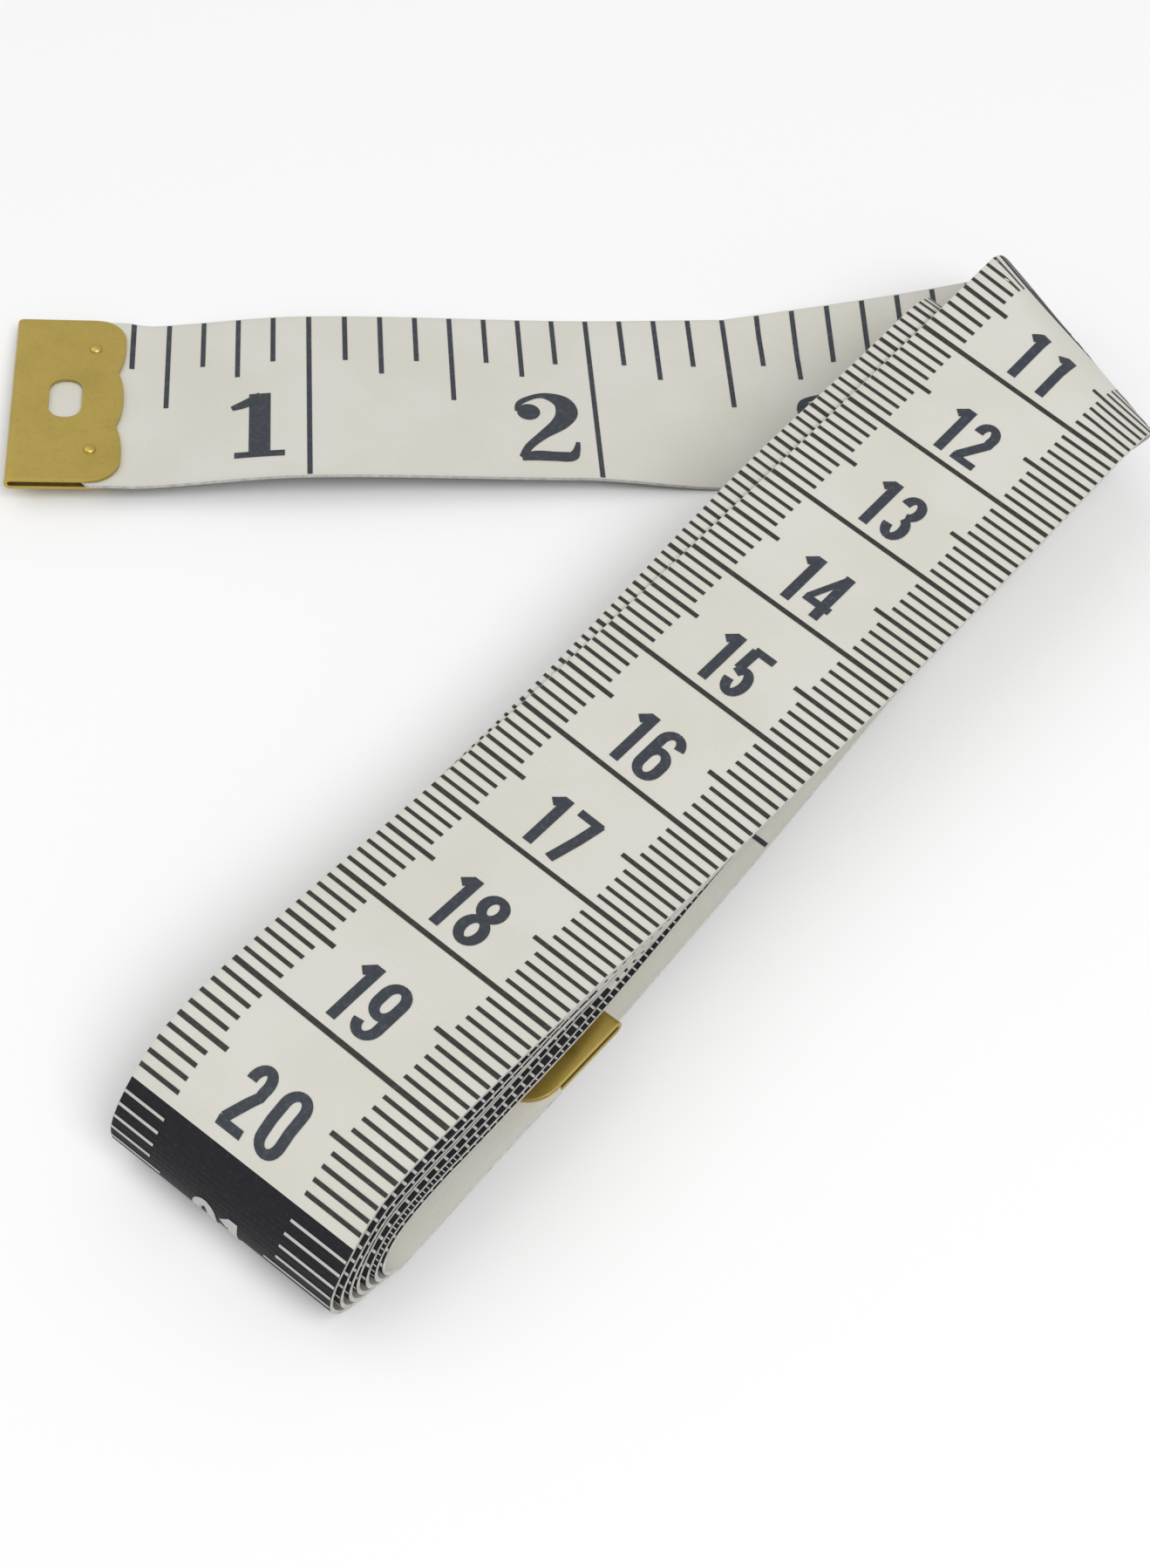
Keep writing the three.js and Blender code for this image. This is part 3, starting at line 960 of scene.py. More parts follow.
class MaterialSheet(NodeSheet):
    """A material's node tree."""

    def __init__(self, name: str) -> None:
        """Starts a material with one Principled shader.

        Args:
            name: The material's name.
        """
        self.material = bpy.data.materials.new(name)
        self.material.use_nodes = True
        super().__init__(self.material.node_tree)
        self.shader = self.tree.nodes["Principled BSDF"]

    def shade(self, **inputs: Any) -> bpy.types.Material:
        """Sets the shader's sockets, with underscores for spaces, and gives the material.

        Args:
            inputs: Values or links by socket name.

        Returns:
            The material.
        """
        for name, value in inputs.items():
            self.feed(self.shader.inputs[name.replace("_", " ")], value)
        return self.material

    def blend(self, share: Any, first: Any, second: Any) -> Value:
        """Mixes two colours."""
        settings = {"data_type": "RGBA"}
        return self.node("ShaderNodeMix", settings, {0: share, 6: first, 7: second}, 2)

    def vector(self, x: Any, y: Any, z: Any = 0.0) -> Value:
        """Joins three numbers."""
        return self.node("ShaderNodeCombineXYZ", {}, {0: x, 1: y, 2: z})

    def noise(self, where: Value, scale: float, detail: float = 3.0) -> Value:
        """Soft random variation from 0 to 1."""
        inputs = {"Vector": where, "Scale": scale, "Detail": detail, "Roughness": 0.55}
        return self.node("ShaderNodeTexNoise", {}, inputs)

    def print_place(self) -> tuple[Value, Value]:
        """Length along and place across the tape in millimetres, from the print's own map.

        Returns:
            Both values.
        """
        place = self.node("ShaderNodeUVMap", {"uv_map": "print"}, {})
        split = self.node("ShaderNodeSeparateXYZ", {}, {0: place})
        across = Value(self, split.socket.node.outputs[1])
        return split * 1000.0, across * 1000.0

    def bump(self, height: Value, strength: float, distance_mm: float) -> Value:
        """Bends the normal by a height."""
        inputs = {"Strength": strength, "Distance": distance_mm * MM, "Height": height}
        return self.node("ShaderNodeBump", {}, inputs)


@dataclass(frozen=True)
class TapeFinish:
    """Coated woven tape: a satin white coat, with black decades on the centimetre side."""

    white: Triple = srgb(215, 213, 205)
    warm: Triple = srgb(211, 209, 197)
    black: Triple = srgb(27, 27, 32)
    worn_black: Triple = srgb(54, 54, 60)
    speckle: Triple = srgb(178, 176, 168)
    edge: Triple = srgb(196, 194, 188)
    yarn: Triple = srgb(170, 168, 162)
    hem: Pair = (9.3, 10.0)
    rib_pitch: float = 0.42
    yarn_pitch: float = 0.55
    roughness: float = 0.52
    decade: float = 100.0

    def weave(self, sheet: MaterialSheet, along: Value, across: Value) -> Value:
        """Height of the weave under the coat, for the bump.

        Args:
            sheet: The material's nodes.
            along: Length along the tape.
            across: Place across it.

        Returns:
            The height.
        """
        warp = (along * (2.0 * math.pi / self.rib_pitch)).sine()
        weft = (across * (2.0 * math.pi / self.yarn_pitch)).sine()
        fray = sheet.noise(sheet.vector(along, across * 2.0), scale=1.6, detail=4.0)
        return warp * 0.22 + weft * 0.12 + fray * 0.9

    def side(self, name: str, decades: bool) -> bpy.types.Material:
        """The finish of one printed side.

        Args:
            name: The material's name.
            decades: Whether every other ten centimetres are black.

        Returns:
            The material.
        """
        sheet = MaterialSheet(name)
        along, across = sheet.print_place()
        weave = self.weave(sheet, along, across)
        cloud = sheet.noise(sheet.vector(along, across), scale=0.09, detail=4.0)
        coat = sheet.blend(cloud.eased(0.35, 0.7), self.white, self.warm)
        speck = sheet.noise(sheet.vector(along, across), scale=2.6, detail=2.0)
        coat = sheet.blend(speck.eased(0.62, 0.8) * 0.10, coat, self.speckle)
        hem = abs(across).eased(*self.hem)
        coat = sheet.blend(hem * 0.25, coat, self.edge)
        rough = self.roughness + cloud * 0.12
        height = weave
        if decades:
            dark = (along * (0.5 / self.decade)).fraction() < 0.5
            fleck = sheet.noise(sheet.vector(along * 2.0, across), scale=2.2, detail=3.0)
            wear = speck.eased(0.5, 0.8) * 0.25 + fleck.eased(0.5, 0.75) * 0.35
            coat = sheet.blend(dark, coat, sheet.blend(wear, self.black, self.worn_black))
            height = weave * (1.0 + dark * 1.8)
        normal = sheet.bump(height, strength=0.35, distance_mm=0.035)
        return sheet.shade(Base_Color=coat, Roughness=rough, Normal=normal, Specular_IOR_Level=0.2)

    def cut_edge(self) -> bpy.types.Material:
        """The finish of the tape's cut edges, where the yarns show.

        Returns:
            The material.
        """
        sheet = MaterialSheet("tape_cut_edge")
        along, across = sheet.print_place()
        yarn = sheet.noise(sheet.vector(along * 0.6, across), scale=2.4, detail=2.0)
        colour = sheet.blend(yarn.eased(0.3, 0.7), self.edge, self.yarn)
        normal = sheet.bump(yarn, strength=0.3, distance_mm=0.05)
        return sheet.shade(Base_Color=colour, Roughness=0.8, Normal=normal)


@dataclass(frozen=True)
class InkFinish:
    """Printing ink, thin and satin, worn a little by handling."""

    colour: Triple
    worn: Triple
    roughness: float = 0.5

    def material(self, name: str) -> bpy.types.Material:
        """Makes the ink.

        Args:
            name: The material's name.

        Returns:
            The material.
        """
        sheet = MaterialSheet(name)
        place = sheet.node("ShaderNodeTexCoord", {}, {}, "Object")
        grain = sheet.noise(place, scale=2600.0, detail=3.0)
        colour = sheet.blend(grain.eased(0.45, 0.8) * 0.6, self.colour, self.worn)
        return sheet.shade(Base_Color=colour, Roughness=self.roughness, Specular_IOR_Level=0.3)


@dataclass(frozen=True)
class BrassFinish:
    """Rolled sheet brass, polished and lightly tarnished."""

    bright: Triple = srgb(186, 164, 88)
    tarnish: Triple = srgb(154, 136, 72)
    scratches: Triple = (900.0, 9000.0, 900.0)
    roughness: float = 0.32

    def material(self) -> bpy.types.Material:
        """Makes the brass.

        Returns:
            The material.
        """
        sheet = MaterialSheet("rolled_brass")
        place = sheet.node("ShaderNodeTexCoord", {}, {}, "Object")
        cloud = sheet.noise(place, scale=240.0, detail=5.0)
        drawn = sheet.node("ShaderNodeMapping", {}, {"Vector": place, "Scale": self.scratches})
        scratch = sheet.noise(drawn, scale=1.0, detail=2.0)
        speck = sheet.noise(place, scale=2600.0, detail=2.0)
        wear = cloud.eased(0.35, 0.75) * 0.35 + speck.eased(0.5, 0.8) * 0.3
        colour = sheet.blend(wear, self.bright, self.tarnish)
        rough = self.roughness + cloud * 0.12 + scratch * 0.06
        normal = sheet.bump(scratch + cloud * 0.8, strength=0.12, distance_mm=0.02)
        return sheet.shade(Base_Color=colour, Metallic=1.0, Roughness=rough, Normal=normal)


@dataclass
class PrintSheet:
    """Flat print that is gathered in length and width, then laid on a tape as a thin film."""

    lift: float = 0.04
    level_step: float = 0.15
    disc_points: int = 13
    points: list[np.ndarray] = field(default_factory=list)
    lifts: list[np.ndarray] = field(default_factory=list)
    faces: list[np.ndarray] = field(default_factory=list)
    count: int = 0

    def strip(self, left: np.ndarray, right: np.ndarray, level: int = 0, closed: bool = False) -> None:
        """Adds a band between two lines of points.

        Args:
            left: Points of one line.
            right: Points of the other.
            level: How many strokes lie under it.
            closed: Whether the band closes on itself.
        """
        size = len(left)
        first = np.arange(size if closed else size - 1)
        after = (first + 1) % size
        quads = np.stack([first, after, after + size, first + size], 1)
        self._add(np.concatenate([left, right]), quads, level)

    def bar(self, start: Pair, end: Pair, pieces: int = 1) -> None:
        """Adds a mark between two corners, as length along and place across.

        Args:
            start: One corner.
            end: The opposite corner.
            pieces: Number of faces across the tape.
        """
        across = np.linspace(start[1], end[1], pieces + 1)
        left = np.stack([np.full_like(across, start[0]), across], 1)
        right = np.stack([np.full_like(across, end[0]), across], 1)
        self.strip(left, right)

    def disc(self, centre: Pair, radius: float, level: int) -> None:
        """Adds a round dot.

        Args:
            centre: Its middle.
            radius: Its radius.
            level: How many strokes lie under it.
        """
        angle = np.linspace(0.0, np.pi, self.disc_points)
        wide = centre[0] + np.cos(angle) * radius
        high = np.sin(angle) * radius
        rims = [np.stack([wide, centre[1] + sign * high], 1) for sign in (1.0, -1.0)]
        self.strip(*rims, level)

    def _add(self, points: np.ndarray, quads: np.ndarray, level: int) -> None:
        """Keeps points and their faces.

        Args:
            points: The flat points.
            quads: Numbers of the points of each face.
            level: How many strokes lie under them.
        """
        self.points.append(points)
        self.lifts.append(np.full(len(points), self.lift * (1.0 + self.level_step * level)))
        self.faces.append(quads + self.count)
        self.count += len(points)

    def place(self, other: PrintSheet, turn: np.ndarray, shift: Pair) -> None:
        """Adds another sheet, turned and shifted.

        Args:
            other: The sheet that is added.
            turn: Its turn, as a matrix.
            shift: Its shift along and across.
        """
        for points, lifts, quads in zip(other.points, other.lifts, other.faces):
            self.points.append(points @ turn.T + np.array(shift))
            self.lifts.append(lifts)
            self.faces.append(quads + self.count)
        self.count += other.count

    def lay(self, name: str, grid: TapeGrid, side: PrintSide, frame: TapeFrame) -> bpy.types.Object:
        """Lays the print on one side of a tape.

        Args:
            name: The new piece's name.
            grid: The tape.
            side: The side that carries the print.
            frame: Where the tape's frame lies.

        Returns:
            The film as a mesh object.
        """
        where = np.concatenate(self.points)
        points = grid.surface(where, side, np.concatenate(self.lifts))
        quads = np.concatenate(self.faces)
        corner = points[quads]
        normal = np.cross(corner[:, 1] - corner[:, 0], corner[:, 2] - corner[:, 0])
        middle = grid.surface(where[quads].mean(axis=1), side, np.zeros(len(quads)))
        raised = grid.surface(where[quads].mean(axis=1), side, np.ones(len(quads)))
        wrong = (normal * (raised - middle)).sum(axis=1) < 0.0
        quads[wrong] = quads[wrong][:, ::-1]
        return new_mesh_object(name, frame.to_row(points), quads)


def arc(
    x: float, y: float, wide: float, high: float, start: float, end: float, step: float = 15.0
) -> np.ndarray:
    """Points of an arc, angles in degrees.

    Args:
        x: Middle, along.
        y: Middle, up.
        wide: Radius along.
        high: Radius up.
        start: First angle.
        end: Last angle.
        step: Angle from point to point.

    Returns:
        The points, count by two.
    """
    count = max(4, int(abs(end - start) / step))
    angle = np.radians(np.linspace(start, end, count + 1))
    return np.stack([x + wide * np.cos(angle), y + high * np.sin(angle)], 1)


def closely(line: np.ndarray, closed: bool, step: float = 0.4) -> np.ndarray:
    """Adds points to a line so that none lie further apart than the step.

    Args:
        line: The points.
        closed: Whether the line closes.
        step: The largest distance.

    Returns:
        The denser line.
    """
    after = np.roll(line, -1, axis=0)
    spans = len(line) if closed else len(line) - 1
    points = []
    for start, end in zip(line[:spans], after[:spans]):
        count = max(1, math.ceil(float(np.linalg.norm((end - start)[:2])) / step))
        points += [mix(start, end, index / count) for index in range(count)]
    if not closed:
        points.append(line[-1])
    return np.array(points)


def pen_sides(line: np.ndarray, closed: bool) -> np.ndarray:
    """Unit vectors across a line at each of its points.

    Args:
        line: The points.
        closed: Whether the line closes.

    Returns:
        One vector for each point.
    """
    before = np.roll(line, 1, axis=0) if closed else np.concatenate([line[:1], line[:-1]])
    after = np.roll(line, -1, axis=0) if closed else np.concatenate([line[1:], line[-1:]])
    tangent = (after - before)[:, :2]
    tangent = tangent / np.linalg.norm(tangent, axis=1, keepdims=True)
    return np.stack([-tangent[:, 1], tangent[:, 0]], 1)


@dataclass
class PlainNumerals:
    """Condensed sans numerals of the centimetre scale, drawn with a broad pen."""

    height: float = 5.0
    pen: Pair = (0.84, 0.68)
    slant: float = 0.7
    gap: float = 0.75
    ones_gap: float = 0.97
    narrow: float = 1.15
    width: float = 2.2
    round_width: float = 2.45
    bow: float = 0.95

    def digit(self, sign: str) -> PrintSheet:
        """Draws one digit, its foot at 0.

        Args:
            sign: The digit.

        Returns:
            Its print.
        """
        sheet = PrintSheet()
        for level, (line, closed) in enumerate(self._strokes(sign)):
            line = closely(np.asarray(line, float), closed)
            share = self.slant if sign == "4" and level == 0 else 1.0
            side = pen_sides(line, closed) * np.array(self.pen) * share / 2.0
            sheet.strip(line + side, line - side, level, closed)
        return sheet

    def number(self, text: str) -> PrintSheet:
        """Draws a number, centred across.

        Args:
            text: The number's digits.

        Returns:
            Its print.
        """
        sheet = PrintSheet()
        steps = [self._wide(sign) + self.gap for sign in text]
        if text == "11":
            steps[0] += self.ones_gap
        start = -(sum(steps) - self.gap) / 2.0
        for sign, step in zip(text, steps):
            sheet.place(self.digit(sign), np.eye(2), (start, 0.0))
            start += step
        return sheet

    def _wide(self, sign: str) -> float:
        """Width of a digit.

        Args:
            sign: The digit.

        Returns:
            Its width.
        """
        if sign == "1":
            return self.narrow
        return self.round_width if sign in "0689" else self.width

    def _strokes(self, sign: str) -> list[tuple[Any, bool]]:
        """The middle lines of a digit's strokes, and whether each one closes.

        Args:
            sign: The digit.

        Returns:
            Each stroke's points, and whether it closes.
        """
        thick, thin = self.pen[0] / 2.0, self.pen[1] / 2.0
        width = self._wide(sign)
        middle, wide = width / 2.0, width / 2.0 - thick
        top = self.height - thin
        bow = self.bow
        upper, lower = top - bow, thin + bow
        if sign == "0":
            ring = [arc(middle, upper, wide, bow, 0, 180), arc(middle, lower, wide, bow, 180, 360)]
            return [(np.concatenate(ring), True)]
        if sign == "1":
            stem = self.narrow - thick
            flag = [(stem - 0.1, 4.76), (stem - 0.88, 4.0)]
            return [([(stem, 0.0), (stem, self.height)], False), (flag, False)]
        if sign == "2":
            curve = np.concatenate([arc(middle, upper, wide, bow, 190, -20), [(1.75, 2.95), (0.42, 0.6)]])
            return [(curve, False), ([(0.04, thin), (self.width, thin)], False)]
        if sign == "3":
            axis = middle - 0.03
            bows = [arc(axis, 3.7, wide, 0.96, 178, -88), arc(axis, 1.4, wide, 1.06, 88, -178)]
            return [(line, False) for line in bows]
        if sign == "4":
            return [
                ([(1.5, self.height - 0.34), (0.1, 1.45)], False),
                ([(-0.15, 1.3), (2.3, 1.3)], False),
                ([(1.62, 0.0), (1.62, self.height)], False),
            ]
        if sign == "5":
            return [
                ([(2.2, top), (0.3, top)], False),
                ([(0.5, top), (0.42, 2.5)], False),
                (arc(middle - 0.02, 1.5, wide, 1.16, 150, -175), False),
            ]
        if sign in "69":
            stem = np.concatenate([arc(middle, upper, wide, bow, 5, 180), [(thick, lower)]])
            bowl = [arc(middle, 1.95, wide, bow, 0, 180), arc(middle, lower, wide, bow, 180, 360)]
            ring = np.concatenate(bowl)
            if sign == "6":
                return [(stem, False), (ring, True)]
            turn = np.array([width, self.height])
            return [(turn - stem, False), (turn - ring, True)]
        if sign == "7":
            stem = [(1.95, top + 0.2), (1.55, 2.6), (0.95, 0.0)]
            return [([(0.05, top), (self.width, top)], False), (stem, False)]
        rings = [arc(middle, 3.72, wide - 0.03, 0.94, 0, 360), arc(middle, 1.42, wide, 1.08, 0, 360)]
        return [(ring[:-1], True) for ring in rings]


@dataclass
class SerifNumerals:
    """Bold serif numerals of the inch scale, drawn with a swelling stroke."""

    height: float = 8.7
    width: float = 5.4
    advance: float = 5.9
    squeeze: Pair = (1.0, 0.95)

    def digit(self, sign: str) -> PrintSheet:
        """Draws one digit, its foot at 0.

        Args:
            sign: The digit.

        Returns:
            Its print.
        """
        sheet = PrintSheet()
        turned = sign == "9"
        strokes, balls = self._strokes("6" if turned else sign)
        for level, (line, closed) in enumerate(strokes):
            self._draw(sheet, np.asarray(line, float), closed, level)
        for x, y, radius in balls:
            sheet.disc((x, y), radius, len(strokes))
        if not turned:
            return sheet
        other = PrintSheet()
        other.place(sheet, -np.eye(2), (self.width, self.height))
        return other

    def number(self, text: str) -> PrintSheet:
        """Draws a number that ends at 0.

        Args:
            text: The number's digits.

        Returns:
            Its print.
        """
        sheet = PrintSheet()
        start = -(self.advance * (len(text) - 1) + self.width)
        for index, sign in enumerate(text):
            sheet.place(self.digit(sign), np.diag(self.squeeze), (start + index * self.advance, 0.0))
        return sheet

    def _strokes(self, sign: str) -> tuple[list[tuple[Any, bool]], list[Triple]]:
        """Strokes as x, y and half width, whether each closes, and the round terminals.

        Args:
            sign: The digit.

        Returns:
            The strokes and the terminals.
        """
        bowl = [(4.85, 2.6, 1.0), (4.2, 1.05, 0.75), (2.5, 0.32, 0.32), (1.0, 0.75, 0.28), (0.45, 1.8, 0.2)]
        if sign == "1":
            stem = [(2.8, 0.3, 0.95), (2.8, 8.2, 0.95)]
            foot = [(0.6, 0.36, 0.36), (5.0, 0.36, 0.36)]
            flag = [(0.3, 6.45, 0.3), (1.6, 7.0, 0.5), (2.9, 8.0, 0.4)]
            return [(stem, False), (foot, False), (flag, False)], []
        if sign == "2":
            bow = [
                (0.0, 6.0, 0.2), (0.4, 7.2, 0.3), (2.3, 8.1, 0.32), (4.05, 7.35, 0.8), (4.5, 5.9, 1.0),
                (3.8, 4.45, 0.82), (2.2, 2.9, 0.5), (0.85, 1.4, 0.4), (0.2, 0.0, 0.35),
            ]
            foot = [
                (0.1, 0.0, 0.45), (1.5, 0.22, 0.62), (3.1, 0.15, 0.6), (4.5, 0.15, 0.6), (5.0, 0.85, 0.35),
                (5.25, 2.0, 0.18),
            ]
            return [(bow, False), (foot, False)], [(1.05, 5.9, 1.04)]
        if sign == "3":
            upper = [
                (0.1, 6.7, 0.2), (0.6, 7.8, 0.28), (2.5, 8.4, 0.3), (4.1, 7.7, 0.72), (4.45, 6.6, 0.95),
                (3.9, 5.3, 0.6), (2.4, 4.65, 0.28),
            ]
            lower = [(2.3, 4.65, 0.28), (4.2, 4.1, 0.6), *bowl]
            return [(upper, False), (lower, False)], [(1.0, 6.6, 1.05), (1.3, 1.95, 1.0)]
        if sign == "4":
            strokes = [
                [(4.0, 8.5, 0.3), (0.5, 2.7, 0.3)],
                [(0.4, 2.45, 0.33), (5.4, 2.45, 0.33)],
                [(3.8, 0.4, 0.95), (3.8, 8.5, 0.95)],
                [(2.2, 0.35, 0.33), (5.3, 0.35, 0.33)],
            ]
            return [(line, False) for line in strokes], []
        if sign == "5":
            bar = [(1.1, 8.1, 0.55), (4.8, 8.1, 0.55)]
            stem = [(1.15, 8.4, 0.25), (1.15, 4.6, 0.25)]
            bow = [(1.15, 4.7, 0.25), (2.6, 5.4, 0.35), (4.3, 4.6, 0.8), *bowl]
            return [(bar, False), (stem, False), (bow, False)], [(1.3, 1.95, 1.0)]
        if sign == "6":
            bow = [
                (4.6, 7.2, 0.25), (3.3, 8.35, 0.3), (1.7, 7.2, 0.7), (1.05, 4.6, 1.0), (1.25, 2.0, 0.9),
                (2.8, 0.36, 0.34), (4.2, 1.2, 0.72), (4.55, 2.7, 0.85), (4.0, 4.2, 0.65), (2.9, 4.8, 0.3),
                (1.8, 4.0, 0.28),
            ]
            return [(bow, False)], [(4.2, 7.0, 0.8)]
        if sign == "7":
            bar = [(0.6, 8.1, 0.6), (5.2, 8.1, 0.6)]
            stem = [(5.0, 8.0, 0.3), (3.6, 5.5, 0.45), (2.7, 3.0, 0.8), (2.5, 0.1, 1.0)]
            tick = [(0.75, 8.3, 0.25), (0.65, 6.6, 0.2)]
            return [(bar, False), (stem, False), (tick, False)], []
        if sign == "8":
            upper = [
                (2.7, 8.35, 0.3), (4.1, 7.6, 0.65), (4.25, 6.3, 0.75),
                (2.7, 4.8, 0.35), (1.15, 6.3, 0.75), (1.3, 7.6, 0.65),
            ]
            lower = [
                (2.7, 4.7, 0.35), (4.4, 3.6, 0.8), (4.6, 2.0, 0.9),
                (2.7, 0.35, 0.32), (0.8, 2.0, 0.9), (1.0, 3.6, 0.8),
            ]
            return [(upper, True), (lower, True)], []
        ring = [
            (2.7, 8.35, 0.3), (4.25, 7.0, 0.85), (4.45, 4.35, 0.95), (4.25, 1.7, 0.85),
            (2.7, 0.35, 0.3), (1.15, 1.7, 0.85), (0.95, 4.35, 0.95), (1.15, 7.0, 0.85),
        ]
        return [(ring, True)], []

    def _draw(self, sheet: PrintSheet, knots: np.ndarray, closed: bool, level: int) -> None:
        """Draws a swelling stroke through its knots.

        Args:
            sheet: The print that takes the stroke.
            knots: Points as x, y and half width.
            closed: Whether the stroke closes.
            level: How many strokes lie under it.
        """
        line = self._through(knots, closed) if len(knots) > 2 else closely(knots, closed)
        side = pen_sides(line, closed) * line[:, 2:]
        sheet.strip(line[:, :2] + side, line[:, :2] - side, level, closed)

    def _through(self, knots: np.ndarray, closed: bool, steps: int = 8) -> np.ndarray:
        """A smooth line through the knots.

        Args:
            knots: Points as x, y and half width.
            closed: Whether the line closes.
            steps: Points from one knot to the next.

        Returns:
            The points of the line.
        """
        count = len(knots)
        spans = count if closed else count - 1
        line = []
        for span in range(spans):
            index = [span - 1, span, span + 1, span + 2]
            picked = [i % count if closed else min(max(i, 0), count - 1) for i in index]
            first, start, end, last = (knots[i] for i in picked)
            for step in range(steps):
                share = step / steps
                line.append(
                    0.5
                    * (
                        2.0 * start
                        + (end - first) * share
                        + (2.0 * first - 5.0 * start + 4.0 * end - last) * share**2
                        + (3.0 * start - first - 3.0 * end + last) * share**3
                    )
                )
        if not closed:
            line.append(knots[-1])
        return np.array(line)


@dataclass
class CentimetreScale:
    """Millimetre ticks on both edges, a line at each centimetre and its number before it."""

    tick_width: float = 0.33
    middle_width: float = 0.39
    line_width: float = 0.43
    fine_width: float = 0.21
    edge_gap: float = 0.04
    print_middle: float = -0.6
    short_reach: float = 5.73
    middle_reach: float = 4.74
    number_gap: float = 0.95
    number_middle: float = -0.32
    centimetre: int = 10
    half_centimetre: int = 5
    decade: int = 100
    line_pieces: int = 16
    tick_pieces: int = 4
    numerals: PlainNumerals = field(default_factory=PlainNumerals)

    def print_on(self, first: float, last: float, half_width: float) -> dict[Ink, PrintSheet]:
        """Prints the scale between two lengths.

        Args:
            first: Where the print begins.
            last: Where it ends.
            half_width: Half the tape's width.

        Returns:
            The print in each ink.
        """
        sheets = {Ink.DARK: PrintSheet(), Ink.BLUE: PrintSheet(), Ink.WHITE: PrintSheet()}
        for mark in range(math.ceil(first), math.floor(last) + 1):
            black = (mark // self.decade) % 2 == 0
            self._mark(sheets[Ink.WHITE if black else Ink.DARK], mark, half_width, black)
        turn = np.array([[0.0, -1.0], [1.0, 0.0]])
        for mark in range(self.centimetre, math.floor(last) + 1, self.centimetre):
            black = ((mark - 1) // self.decade) % 2 == 0
            if mark - self.number_gap - self.numerals.height < first:
                continue
            sheet = sheets[Ink.WHITE if black else Ink.BLUE]
            place = (mark - self.number_gap, self.number_middle)
            sheet.place(self.numerals.number(str(mark // self.centimetre)), turn, place)
        return {ink: sheet for ink, sheet in sheets.items() if sheet.count}

    def _mark(self, sheet: PrintSheet, mark: int, half_width: float, black: bool) -> None:
        """Prints the marks at one millimetre.

        Args:
            sheet: The print that takes the marks.
            mark: The millimetre.
            half_width: Half the tape's width.
            black: Whether the ground is black.
        """
        outer = half_width - self.edge_gap
        if mark % self.decade == 0:
            return
        if mark % self.centimetre == 0:
            half = (self.fine_width if black else self.line_width) / 2.0
            sheet.bar((mark - half, -outer), (mark + half, outer), self.line_pieces)
            return
        middle = mark % self.half_centimetre == 0
        half = (self.fine_width if black else self.middle_width if middle else self.tick_width) / 2.0
        reach = self.middle_reach if middle else self.short_reach
        for sign in (-1.0, 1.0):
            end = (mark + half, self.print_middle + sign * reach)
            sheet.bar((mark - half, sign * outer), end, self.tick_pieces)


@dataclass
class InchScale:
    """Eighth-inch ticks on one edge, a line at each inch and its number before it."""

    inch: float = 25.4
    parts: int = 8
    tick_width: float = 0.44
    edge_gap: float = 0.1
    eighth: float = 5.8
    quarter: float = 7.5
    half_inch: float = 10.7
    number_gap: float = 1.7
    number_foot: float = 2.4
    tick_pieces: int = 12
    numerals: SerifNumerals = field(default_factory=SerifNumerals)

    def print_on(self, first: float, last: float, half_width: float) -> dict[Ink, PrintSheet]:
        """Prints the scale between two lengths, as the centimetre scale does.

        Args:
            first: Where the print begins.
            last: Where it ends.
            half_width: Half the tape's width.

        Returns:
            The print in its ink.
        """
        sheet = PrintSheet()
        reach = {0: 2.0 * half_width - self.edge_gap, 4: self.half_inch, 2: self.quarter, 6: self.quarter}
        foot = -half_width + self.edge_gap
        half = self.tick_width / 2.0
        for count in range(1, int(last / self.inch * self.parts) + 1):
            place = count * self.inch / self.parts
            if place < first:
                continue
            end = -half_width + reach.get(count % self.parts, self.eighth)
            sheet.bar((place - half, foot), (place + half, end), self.tick_pieces)
        turn = np.array([[1.0, 0.0], [0.0, -1.0]])
        for number in range(1, int(last / self.inch) + 1):
            place = number * self.inch - self.number_gap
            text = str(number)
            if place - self.numerals.advance * len(text) < first:
                continue
            sheet.place(self.numerals.number(text), turn, (place, half_width - self.number_foot))
        return {Ink.BLUE: sheet} if sheet.count else {}


